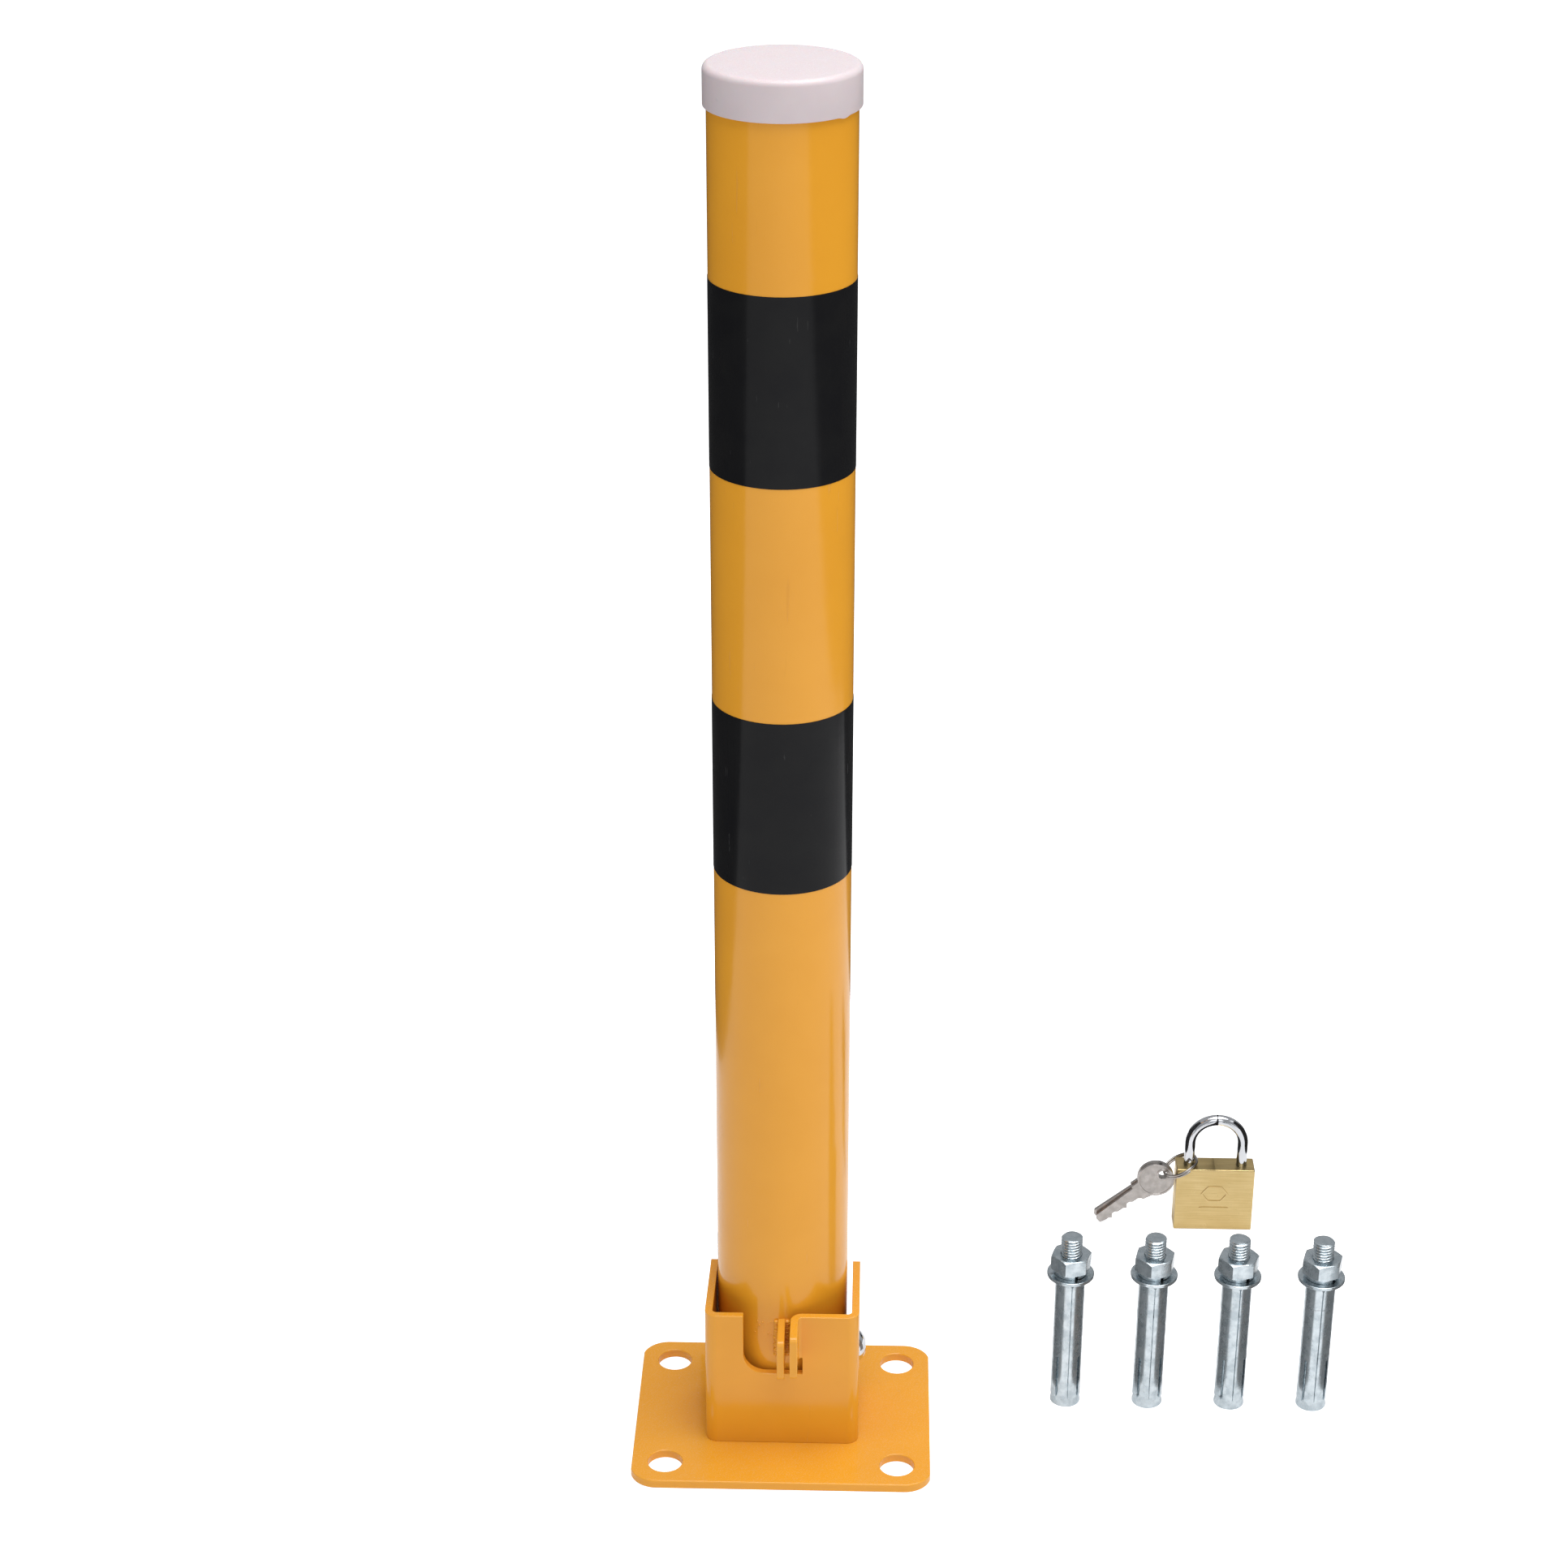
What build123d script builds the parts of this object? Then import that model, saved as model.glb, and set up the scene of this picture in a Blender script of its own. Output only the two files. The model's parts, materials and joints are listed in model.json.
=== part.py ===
from build123d import *
import math
import os

# A folding parking lock: a steel post that folds down backwards in a folded-sheet socket on a
# bolted base plate, with its padlock, keys and four sleeve anchors.
# Frame: millimetres, +Z up, +X to the right seen from the front, the post folds towards +Y.
# The origin is the centre of the base plate's underside, which rests on the ground.

# ---- Base plate ----
PLATE_WIDTH = 138.0
PLATE_DEPTH = 110.0
PLATE_THICKNESS = 4.2
HOLE_SPACING_X = 107.2
HOLE_SPACING_Y = 80.0
ANCHOR_HOLE_DIAMETER = 16.0
CORNER_CUT_X = 12.0
CORNER_CUT_Y = 9.0

# ---- Post ----
TUBE_DIAMETER = 60.3
TUBE_WALL = 2.0
POST_HEIGHT = 639.3
POST_SETBACK = 10.0
POST_SHIFT = -0.6
TUBE_SEAM_TURN = 45.0
FOLD_CLEARANCE = 1.35
FOOT_ROUNDING_EXTRA = 0.35
CAP_TOP = 2.4
CAP_WALL = 1.4
CAP_FIT = 0.05
CAP_SKIRT = 14.1
CAP_EDGE_RADIUS = 2.2
BAND_THICKNESS = 0.15
BAND_HEIGHT = 80.0
LOWER_BAND_DROP = 349.3
UPPER_BAND_DROP = 165.3

# ---- Socket: one folded sheet, open at the back, with a bent-out ear ----
SHEET = 3.5
SOCKET_RISE = 70.4
SIDE_GAP = 1.85
FRONT_GAP = 0.85
SOCKET_DEPTH = 47.0
BEND_RADIUS = 2.0
NOTCH_REACH_LEFT = 17.7
NOTCH_FLOOR_RISE = 39.0
NOTCH_CORNER_RADIUS = 10.5
EAR_REACH = 17.5
EAR_CORNER_RADIUS = 2.5
SOCKET_EAR_HEIGHT = 22.4
SOCKET_EAR_LEFT = 4.0
BASE_WELD_LEG = 2.0

# ---- Post ear: a plate welded to the tube, beside the socket's ear ----
POST_EAR_THICKNESS = 3.5
EAR_SIDE_GAP = 2.4
POST_EAR_HEIGHT = 21.0
POST_EAR_DROP = 3.4
POST_EAR_SHORTER = 1.8
EAR_WELD_LEG = 1.5
PADLOCK_HOLE_DIAMETER = 9.0
PADLOCK_HOLE_REACH = 8.6

# ---- Hinge ----
HINGE_BOLT_DIAMETER = 8.0
RUNNING_FIT = 0.06
WALL_HOLE_CLEARANCE = 0.25
SLEEVE_DIAMETER = 12.0
HINGE_HEAD_DIAMETER = 15.0
HINGE_HEAD_HEIGHT = 3.4
HINGE_SOCKET_ACROSS_FLATS = 5.0
HINGE_SOCKET_DEPTH = 2.0
HINGE_NUT_DIAMETER = 11.0
HINGE_WASHER_DIAMETER = 16.0
HINGE_WASHER_PLAY = 0.25

# ---- Sleeve anchors, standing on the ground to the right of the plate ----
ANCHOR_COUNT = 4
ANCHOR_ROW_X = 134.0
ANCHOR_PITCH = 39.0
ANCHOR_ROW_Y = 20.0
STUD_DIAMETER = 10.0
STUD_LENGTH = 92.0
THREAD_PITCH = 1.5
THREAD_DEPTH = 0.85
THREAD_LENGTH = 21.0
CONE_DIAMETER = 14.2
CONE_LIP = 0.8
CONE_FOOT = 4.4
CONE_SLOPE = 0.22
ANCHOR_SLEEVE_DIAMETER = 14.0
ANCHOR_SLEEVE_LENGTH = 65.6
SLEEVE_BORE_CLEARANCE = 0.2
SLEEVE_SEAM = 0.5
SLEEVE_SEAM_NOTCH = 3.0
SLOT_COUNT = 4
SLOT_WIDTH = 1.4
SLOT_LENGTH = 23.0
WASHER_SEAT = 0.9
FLAT_WASHER_DIAMETER = 22.0
FLAT_WASHER_THICKNESS = 1.6
SPRING_WASHER_DIAMETER = 15.6
SPRING_WASHER_THICKNESS = 2.2
SPRING_WASHER_SPLIT = 1.2
SPRING_WASHER_SLANT = 35.0
NUT_ACROSS_FLATS = 17.0
NUT_HEIGHT = 8.0
NUT_FACE_SHARE = 0.97
NUT_CHAMFER_ANGLE = 30.0
STACK_GAP = 0.05
NUT_TURNS = (12.0, 17.0, 9.0, 14.0)
SEAM_TURNS = (5.0, 2.0, 8.0, 4.0)

# ---- Padlock, standing on the ground behind the anchors ----
LOCK_X = 217.0
LOCK_Y = 175.0
LOCK_WIDTH = 40.0
LOCK_HEIGHT = 36.0
LOCK_THICKNESS = 12.5
LOCK_EDGE_RADIUS = 0.6
SHACKLE_DIAMETER = 5.5
SHACKLE_OUTER_WIDTH = 32.3
SHACKLE_RISE = 29.0
SHACKLE_LIFT = 10.0
LEG_CLEARANCE = 0.1
LONG_LEG_DEPTH = 27.0
SHORT_LEG_DEPTH = 19.0
LEG_GROOVE_DEPTH = 1.1
STOP_PIN_DIAMETER = 1.6
STOP_PIN_BELOW_TOP = 13.0
LATCH_SQUARE = 3.4
LATCH_BELOW_TOP = 14.4
LATCH_TAIL = 4.6
LATCH_ROOF = 0.8
LATCH_SPRING_LENGTH = 4.4
PLUG_DIAMETER = 8.0
PLUG_LENGTH = 15.2
PLUG_CLEARANCE = 0.06
PLUG_GROOVE_DEPTH = 0.8
PLUG_GROOVE_HEIGHT = 2.6
KEYWAY_WIDTH = 2.3
KEYWAY_DEPTH = 5.0
KEYWAY_END_WALL = 1.0
DRIVE_PEG_DIAMETER = 2.0
DRIVE_PEG_OFFSET = 2.0
DRIVE_LOST_MOTION = 0.5
PIN_DIAMETER = 2.2
PIN_CLEARANCE = 0.06
PIN_COUNT = 4
FIRST_PIN_HEIGHT = 3.4
PIN_PITCH = 2.9
KEY_PIN_LENGTHS = (2.6, 2.1, 2.9, 2.3)
DRIVER_LENGTH = 3.0
CHAMBER_PLUG_LENGTH = 2.0
SPRING_WIRE_SHARE = 0.18
SPRING_SIDE_GAP = 0.2
FEELING_GAP = 0.02

# ---- Split ring and keys ----
RING_RADIUS = 9.0
RING_WIRE = 1.2
RING_SLOPE = 27.0
RING_TOUCH_GAP = 0.12
KEY_THICKNESS = 2.0
KEY_GAP = 0.12
KEY_LENGTH = 47.5
BOW_RADIUS = 9.4
BOW_RIM_WIDTH = 1.0
BOW_RECESS = 0.25
KEY_HOLE_RADIUS = 2.35
KEY_HOLE_OFFSET = 4.6
KEY_HANG = 1.0
BLADE_BACK = 3.7
BLADE_WIDTH = 8.4
TIP_GAP = 0.2
KEY_CUT_DEPTHS = (2.2, 3.4, 2.6, 3.8, 3.0)
CUT_FLOOR_SPAN = (-0.12, 0.22)
CUT_RAMP_START = -0.42
CUT_RAMP_HEIGHT = 1.1
KEY_SHOULDER_SHARE = 0.75
KEY_SHOULDER_LENGTH = 3.0
KEY_SHOULDER_STEP = 1.2
KEY_TIP_BEVEL = 1.5
KEY_TIP_BLANK = 2.0
KEY_TIP_STEP = 1.0
KEY_GROOVE_START = 0.6
KEY_GROOVE_DROP = 0.3
KEY_GROOVE_WIDTH = 1.3
SECOND_KEY_SPREAD = 2.5

# ---- Worked out from the sizes above ----
TUBE_RADIUS = TUBE_DIAMETER / 2
PIVOT_HEIGHT = PLATE_THICKNESS + FOLD_CLEARANCE + TUBE_RADIUS
FOOT_RADIUS = TUBE_RADIUS + FOOT_ROUNDING_EXTRA
LOWER_BAND_BOTTOM = POST_HEIGHT - LOWER_BAND_DROP
UPPER_BAND_BOTTOM = POST_HEIGHT - UPPER_BAND_DROP
TUBE_TOP = POST_HEIGHT - CAP_TOP
TUBE_FRONT = POST_SETBACK - TUBE_RADIUS
SOCKET_INNER_HALF = TUBE_RADIUS + SIDE_GAP
SOCKET_OUTER_HALF = SOCKET_INNER_HALF + SHEET
SOCKET_INNER_FRONT = TUBE_FRONT - FRONT_GAP
SOCKET_FRONT = SOCKET_INNER_FRONT - SHEET
SOCKET_BACK = SOCKET_FRONT + SOCKET_DEPTH
SOCKET_TOP = PLATE_THICKNESS + SOCKET_RISE
NOTCH_FLOOR = PLATE_THICKNESS + NOTCH_FLOOR_RISE
SOCKET_EAR_RIGHT = SOCKET_EAR_LEFT + SHEET
EAR_BEND_END = SOCKET_EAR_RIGHT + BEND_RADIUS
EAR_FRONT = SOCKET_FRONT - EAR_REACH
SOCKET_EAR_BOTTOM = SOCKET_TOP - SOCKET_EAR_HEIGHT
POST_EAR_RIGHT = SOCKET_EAR_LEFT - EAR_SIDE_GAP
POST_EAR_LEFT = POST_EAR_RIGHT - POST_EAR_THICKNESS
POST_EAR_FRONT = EAR_FRONT + POST_EAR_SHORTER
POST_EAR_TOP = SOCKET_TOP - POST_EAR_DROP
POST_EAR_BOTTOM = POST_EAR_TOP - POST_EAR_HEIGHT
PADLOCK_HOLE_Y = EAR_FRONT + PADLOCK_HOLE_REACH
PADLOCK_HOLE_Z = (POST_EAR_TOP + POST_EAR_BOTTOM) / 2
SLEEVE_BORE = HINGE_BOLT_DIAMETER / 2 + RUNNING_FIT
WALL_HOLE = HINGE_BOLT_DIAMETER / 2 + WALL_HOLE_CLEARANCE

STUD_RADIUS = STUD_DIAMETER / 2
ANCHOR_BORE = STUD_RADIUS + SLEEVE_BORE_CLEARANCE
SLEEVE_TOP = CONE_FOOT + ANCHOR_SLEEVE_LENGTH
FLAT_WASHER_BOTTOM = SLEEVE_TOP + WASHER_SEAT
SPRING_WASHER_BOTTOM = FLAT_WASHER_BOTTOM + FLAT_WASHER_THICKNESS + STACK_GAP
NUT_BOTTOM = SPRING_WASHER_BOTTOM + SPRING_WASHER_THICKNESS + STACK_GAP

LEG_RADIUS = SHACKLE_DIAMETER / 2
LEG_X = SHACKLE_OUTER_WIDTH / 2 - LEG_RADIUS
LEG_BORE = LEG_RADIUS + LEG_CLEARANCE
LONG_LEG_END = LOCK_HEIGHT - LONG_LEG_DEPTH
SHORT_LEG_END = LOCK_HEIGHT - SHORT_LEG_DEPTH
STOP_PIN_HEIGHT = LOCK_HEIGHT - STOP_PIN_BELOW_TOP
LATCH_HEIGHT = LOCK_HEIGHT - LATCH_BELOW_TOP
PLUG_RADIUS = PLUG_DIAMETER / 2
PLUG_BORE = PLUG_RADIUS + PLUG_CLEARANCE
PIN_RADIUS = PIN_DIAMETER / 2
PIN_BORE = PIN_RADIUS + PIN_CLEARANCE
CHAMBER_END = LOCK_WIDTH / 2
LATCH_CAVITY_END = -LATCH_TAIL - LATCH_SPRING_LENGTH

SLOPE = math.radians(RING_SLOPE)


def as_node(shape):
    """A node's solids as one shape."""
    solids = ShapeList(shape).solids() if isinstance(shape, list) else shape.solids()
    return solids[0] if len(solids) == 1 else Compound(solids)


def common(first, second):
    """What two shapes share."""
    return as_node(first & second)


def tube(outer, inner, bottom, height):
    """An upright ring of the given radii."""
    return Pos(0, 0, bottom) * extrude(Circle(outer) - Circle(inner), height)


def upright(radius, bottom, height):
    """A solid upright rod."""
    return Pos(0, 0, bottom) * Cylinder(radius, height, align=(Align.CENTER, Align.CENTER, Align.MIN))


def rod_along_x(radius, start, end, y=0.0, z=0.0):
    return Pos(start, y, z) * Rot(0, 90, 0) * upright(radius, 0, end - start)


def rod_along_y(radius, length, x=0.0, z=0.0):
    return Pos(x, 0, z) * Rot(90, 0, 0) * Cylinder(radius, length)


def block(low, high):
    """A box between two opposite corners."""
    size = [b - a for a, b in zip(low, high)]
    return Pos(*low) * Box(*size, align=(Align.MIN, Align.MIN, Align.MIN))


def revolved(points, about=Axis.Z):
    """A solid of revolution from an outline of (radius, height) points."""
    outline = make_face(Polyline(*[(r, 0, z) for r, z in points], close=True))
    return revolve(outline, about)


# ---- Base plate and socket ----


def plate_outline():
    """The plate's outline: each corner is an arc tangent to the long edge, blunt at the short one."""
    half_x = PLATE_WIDTH / 2
    half_y = PLATE_DEPTH / 2
    start_x = half_x - CORNER_CUT_X
    start_y = half_y - CORNER_CUT_Y
    edges = [
        Line((-start_x, -half_y), (start_x, -half_y)),
        TangentArc((start_x, -half_y), (half_x, -start_y), tangent=(1, 0)),
        Line((half_x, -start_y), (half_x, start_y)),
        TangentArc((start_x, half_y), (half_x, start_y), tangent=(1, 0)),
        Line((start_x, half_y), (-start_x, half_y)),
        TangentArc((-start_x, half_y), (-half_x, start_y), tangent=(-1, 0)),
        Line((-half_x, start_y), (-half_x, -start_y)),
        TangentArc((-start_x, -half_y), (-half_x, -start_y), tangent=(-1, 0)),
    ]
    return make_face(Wire(edges))


def base_plate():
    holes = GridLocations(HOLE_SPACING_X, HOLE_SPACING_Y, 2, 2) * Circle(ANCHOR_HOLE_DIAMETER / 2)
    return extrude(plate_outline() - holes, PLATE_THICKNESS)


def channel_plan():
    """The socket's bent sheet seen from above."""
    outer = Polyline(
        (-SOCKET_OUTER_HALF, SOCKET_BACK),
        (-SOCKET_OUTER_HALF, SOCKET_FRONT),
        (SOCKET_OUTER_HALF, SOCKET_FRONT),
        (SOCKET_OUTER_HALF, SOCKET_BACK),
        close=True,
    )
    inner = Polyline(
        (-SOCKET_INNER_HALF, SOCKET_BACK),
        (-SOCKET_INNER_HALF, SOCKET_INNER_FRONT),
        (SOCKET_INNER_HALF, SOCKET_INNER_FRONT),
        (SOCKET_INNER_HALF, SOCKET_BACK),
        close=True,
    )
    outer_face = make_face(outer)
    inner_face = make_face(inner)
    outer_face = fillet(outer_face.vertices().group_by(Axis.Y)[0], BEND_RADIUS + SHEET)
    inner_face = fillet(inner_face.vertices().group_by(Axis.Y)[0], BEND_RADIUS)
    return outer_face - inner_face


def notch():
    """The opening in the front wall, with one large rounded corner at its lower left."""
    width = NOTCH_REACH_LEFT + EAR_BEND_END
    height = SOCKET_RISE
    outline = Pos(-NOTCH_REACH_LEFT, NOTCH_FLOOR) * Rectangle(width, height, align=(Align.MIN, Align.MIN))
    lower_left = outline.vertices().sort_by(Axis.X)[:2].sort_by(Axis.Y)[0]
    outline = fillet(lower_left, NOTCH_CORNER_RADIUS)
    return Pos(0, SOCKET_INNER_FRONT + BEND_RADIUS / 2, 0) * extrude(
        Plane.XZ * outline, SHEET + BEND_RADIUS
    )


def ear_side(front, back, bottom, top):
    """An ear's side outline, rounded at its two front corners, as a slab wide enough to trim with."""
    length = back - front
    outline = Pos(front, bottom) * Rectangle(length, top - bottom, align=(Align.MIN, Align.MIN))
    outline = fillet(outline.vertices().group_by(Axis.X)[0], EAR_CORNER_RADIUS)
    return extrude(Plane.YZ * outline, SOCKET_OUTER_HALF, both=True)


def socket_ear():
    """The tab bent forwards out of the front wall at the notch's right edge."""
    bend_centre = SOCKET_FRONT - BEND_RADIUS
    outer_radius = BEND_RADIUS + SHEET
    quarter = math.sqrt(0.5)
    edges = [
        ThreePointArc(
            (EAR_BEND_END, SOCKET_INNER_FRONT),
            (EAR_BEND_END - outer_radius * quarter, bend_centre + outer_radius * quarter),
            (SOCKET_EAR_LEFT, bend_centre),
        ),
        Line((SOCKET_EAR_LEFT, bend_centre), (SOCKET_EAR_LEFT, EAR_FRONT)),
        Line((SOCKET_EAR_LEFT, EAR_FRONT), (SOCKET_EAR_RIGHT, EAR_FRONT)),
        Line((SOCKET_EAR_RIGHT, EAR_FRONT), (SOCKET_EAR_RIGHT, bend_centre)),
        ThreePointArc(
            (SOCKET_EAR_RIGHT, bend_centre),
            (EAR_BEND_END - BEND_RADIUS * quarter, bend_centre + BEND_RADIUS * quarter),
            (EAR_BEND_END, SOCKET_FRONT),
        ),
        Line((EAR_BEND_END, SOCKET_FRONT), (EAR_BEND_END, SOCKET_INNER_FRONT)),
    ]
    bent = Pos(0, 0, SOCKET_EAR_BOTTOM) * extrude(make_face(Wire(edges)), SOCKET_EAR_HEIGHT)
    return common(bent, ear_side(EAR_FRONT, POST_SETBACK, SOCKET_EAR_BOTTOM, SOCKET_TOP))


def padlock_hole():
    return rod_along_x(
        PADLOCK_HOLE_DIAMETER / 2, -SOCKET_OUTER_HALF, SOCKET_OUTER_HALF, PADLOCK_HOLE_Y, PADLOCK_HOLE_Z
    )


def socket():
    walls = Pos(0, 0, PLATE_THICKNESS) * extrude(channel_plan(), SOCKET_RISE)
    shape = walls - notch() + socket_ear() - padlock_hole()
    shape -= rod_along_x(WALL_HOLE, 0, SOCKET_OUTER_HALF, POST_SETBACK, PIVOT_HEIGHT)
    return shape - rod_along_x(HINGE_NUT_DIAMETER / 2, -SOCKET_OUTER_HALF, 0, POST_SETBACK, PIVOT_HEIGHT)


def fillet_bead(length):
    """A triangular weld bead along +Y, its corner on the Z axis."""
    outline = make_face(Polyline((0, 0, 0), (BASE_WELD_LEG, 0, 0), (0, 0, BASE_WELD_LEG), close=True))
    return Pos(0, length, 0) * extrude(outline, length, dir=(0, -1, 0))


def socket_welds():
    """Fillet beads inside the channel, along its three walls."""
    run = SOCKET_BACK - SOCKET_INNER_FRONT - BEND_RADIUS
    start = SOCKET_INNER_FRONT + BEND_RADIUS
    left = Pos(-SOCKET_INNER_HALF, start, PLATE_THICKNESS) * fillet_bead(run)
    right = mirror(left, Plane.YZ)
    width = 2 * (SOCKET_INNER_HALF - BEND_RADIUS - BASE_WELD_LEG)
    front = Pos(width / 2, SOCKET_INNER_FRONT, PLATE_THICKNESS) * Rot(0, 0, 90) * fillet_bead(width)
    return Compound([left, right, front])


# ---- Hinge ----


def hinge_bolt():
    """A domed-head bolt along X, with a hexagon recess, its tail flush in the left wall."""
    shank = rod_along_x(HINGE_BOLT_DIAMETER / 2, -SOCKET_OUTER_HALF, SOCKET_OUTER_HALF)
    half = HINGE_HEAD_DIAMETER / 2
    dome_radius = (half**2 + HINGE_HEAD_HEIGHT**2) / (2 * HINGE_HEAD_HEIGHT)
    rise = math.asin(half / dome_radius) / 2
    middle = (HINGE_HEAD_HEIGHT - dome_radius * (1 - math.cos(rise)), dome_radius * math.sin(rise))
    edges = [
        Line((0, 0), (0, half)),
        ThreePointArc((0, half), middle, (HINGE_HEAD_HEIGHT, 0)),
        Line((HINGE_HEAD_HEIGHT, 0), (0, 0)),
    ]
    dome = revolve(make_face(Wire(edges)), Axis.X)
    hexagon = RegularPolygon(HINGE_SOCKET_ACROSS_FLATS / 2, 6, major_radius=False)
    recess = Rot(0, 90, 0) * extrude(hexagon, HINGE_SOCKET_DEPTH)
    head = dome - Pos(HINGE_HEAD_HEIGHT - HINGE_SOCKET_DEPTH, 0, 0) * recess
    return Pos(0, POST_SETBACK, PIVOT_HEIGHT) * (shank + Pos(SOCKET_OUTER_HALF, 0, 0) * head)


def hinge_nut():
    """The threaded bush pressed flush into the left wall."""
    outer = rod_along_x(HINGE_NUT_DIAMETER / 2, -SOCKET_OUTER_HALF, -SOCKET_INNER_HALF)
    bore = rod_along_x(HINGE_BOLT_DIAMETER / 2, -SOCKET_OUTER_HALF, -SOCKET_INNER_HALF)
    return Pos(0, POST_SETBACK, PIVOT_HEIGHT) * (outer - bore)


def hinge_washer(post_side):
    """The washer that fills the gap between a wall and the post's side, given as if on the right."""
    start = post_side + HINGE_WASHER_PLAY
    outer = rod_along_x(HINGE_WASHER_DIAMETER / 2, start, SOCKET_INNER_HALF)
    bore = rod_along_x(WALL_HOLE, start, SOCKET_INNER_HALF)
    return Pos(0, POST_SETBACK, PIVOT_HEIGHT) * (outer - bore)


def hinge_sleeve():
    """The bearing sleeve welded through the tube."""
    outer = rod_along_x(SLEEVE_DIAMETER / 2, -TUBE_RADIUS, TUBE_RADIUS)
    bore = rod_along_x(SLEEVE_BORE, -TUBE_RADIUS, TUBE_RADIUS)
    return Pos(POST_SHIFT, POST_SETBACK, PIVOT_HEIGHT) * (outer - bore)


# ---- Post ----


def post_tube():
    """The round post, its foot rounded about the hinge so that it clears the plate as it folds."""
    foot = PIVOT_HEIGHT - FOOT_RADIUS
    ring = tube(TUBE_RADIUS, TUBE_RADIUS - TUBE_WALL, foot, TUBE_TOP - foot)
    body = Pos(POST_SHIFT, POST_SETBACK, 0) * Rot(0, 0, TUBE_SEAM_TURN) * ring
    below = block((-TUBE_DIAMETER, -TUBE_DIAMETER, 0), (TUBE_DIAMETER, TUBE_DIAMETER, PIVOT_HEIGHT))
    rounding = rod_along_x(FOOT_RADIUS, -TUBE_DIAMETER, TUBE_DIAMETER, POST_SETBACK, PIVOT_HEIGHT)
    bearing = rod_along_x(SLEEVE_DIAMETER / 2, -TUBE_DIAMETER, TUBE_DIAMETER, POST_SETBACK, PIVOT_HEIGHT)
    return body - bearing - (below - rounding)


def tube_core():
    """The space inside the post's outer surface, which trims what is welded to it."""
    return Pos(POST_SHIFT, POST_SETBACK, 0) * upright(TUBE_RADIUS, 0, TUBE_TOP)


def post_ear():
    side = ear_side(POST_EAR_FRONT, POST_SETBACK, POST_EAR_BOTTOM, POST_EAR_TOP)
    slab = block(
        (POST_EAR_LEFT, POST_EAR_FRONT, POST_EAR_BOTTOM), (POST_EAR_RIGHT, POST_SETBACK, POST_EAR_TOP)
    )
    return common(slab, side) - tube_core() - padlock_hole()


def post_ear_weld():
    """Two small beads, one on each side of the ear, along the tube."""
    bottom = POST_EAR_BOTTOM + EAR_WELD_LEG
    height = POST_EAR_HEIGHT - 2 * EAR_WELD_LEG
    outline = make_face(
        Polyline(
            (POST_EAR_RIGHT, POST_SETBACK),
            (POST_EAR_RIGHT + EAR_WELD_LEG, POST_SETBACK),
            (POST_EAR_RIGHT + EAR_WELD_LEG, TUBE_FRONT),
            (POST_EAR_RIGHT, TUBE_FRONT - EAR_WELD_LEG),
            close=True,
        )
    )
    right = Pos(0, 0, bottom) * extrude(outline, height) - tube_core()
    middle = (POST_EAR_LEFT + POST_EAR_RIGHT) / 2
    left = mirror(right, Plane.YZ.offset(middle)) - tube_core()
    return Compound([right, left])


def post_cap():
    """The plastic cap pushed over the tube's top."""
    outer = TUBE_RADIUS + CAP_FIT + CAP_WALL
    bottom = TUBE_TOP - CAP_SKIRT
    lid = upright(outer, bottom, CAP_SKIRT + CAP_TOP)
    lid = fillet(lid.edges().group_by(Axis.Z)[-1], min(CAP_EDGE_RADIUS, CAP_TOP + CAP_WALL / 2))
    return Pos(POST_SHIFT, POST_SETBACK, 0) * (lid - upright(TUBE_RADIUS + CAP_FIT, bottom, CAP_SKIRT))


def band(bottom):
    ring = tube(TUBE_RADIUS + BAND_THICKNESS, TUBE_RADIUS, bottom, BAND_HEIGHT)
    return Pos(POST_SHIFT, POST_SETBACK, 0) * ring


# ---- Sleeve anchors: each is built about the Z axis, its foot on the ground ----


def anchor_stud():
    """The stud: an expanding cone foot, a shank, and a thread of evenly spaced ridges."""
    lip_radius = CONE_DIAMETER / 2
    cone_height = (lip_radius - STUD_RADIUS) / CONE_SLOPE
    outline = [(0, 0), (lip_radius, 0), (lip_radius, CONE_LIP), (STUD_RADIUS, CONE_LIP + cone_height)]
    ridge_count = int(THREAD_LENGTH / THREAD_PITCH)
    root = STUD_RADIUS - THREAD_DEPTH
    first = STUD_LENGTH - ridge_count * THREAD_PITCH
    for ridge in range(ridge_count):
        bottom = first + ridge * THREAD_PITCH
        outline.append((STUD_RADIUS, bottom))
        outline.append((root, bottom + THREAD_PITCH / 2))
    outline.append((root, STUD_LENGTH))
    outline.append((0, STUD_LENGTH))
    return revolved(outline)


def anchor_sleeve():
    """The rolled sleeve: a seam along its whole length and four slots from its foot."""
    outer = ANCHOR_SLEEVE_DIAMETER / 2
    foot_bore = ANCHOR_BORE + CONE_SLOPE * (cone_grip() - CONE_FOOT)
    body = revolved(
        [
            (foot_bore, CONE_FOOT),
            (outer, CONE_FOOT),
            (outer, SLEEVE_TOP),
            (ANCHOR_BORE, SLEEVE_TOP),
            (ANCHOR_BORE, cone_grip()),
        ]
    )
    seam = block((-SLEEVE_SEAM / 2, -outer, CONE_FOOT), (SLEEVE_SEAM / 2, 0, SLEEVE_TOP))
    slot = block((0, -SLOT_WIDTH / 2, CONE_FOOT), (outer, SLOT_WIDTH / 2, CONE_FOOT + SLOT_LENGTH))
    body -= seam
    for turn in range(SLOT_COUNT):
        body -= Rot(0, 0, (turn + 0.5) * 360 / SLOT_COUNT) * slot
    notch_outline = make_face(
        Polyline(
            (-SLEEVE_SEAM_NOTCH / 2, 0, SLEEVE_TOP),
            (SLEEVE_SEAM_NOTCH / 2, 0, SLEEVE_TOP),
            (0, 0, SLEEVE_TOP - SLEEVE_SEAM_NOTCH),
            close=True,
        )
    )
    return body - extrude(notch_outline, outer, dir=(0, -1, 0))


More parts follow.
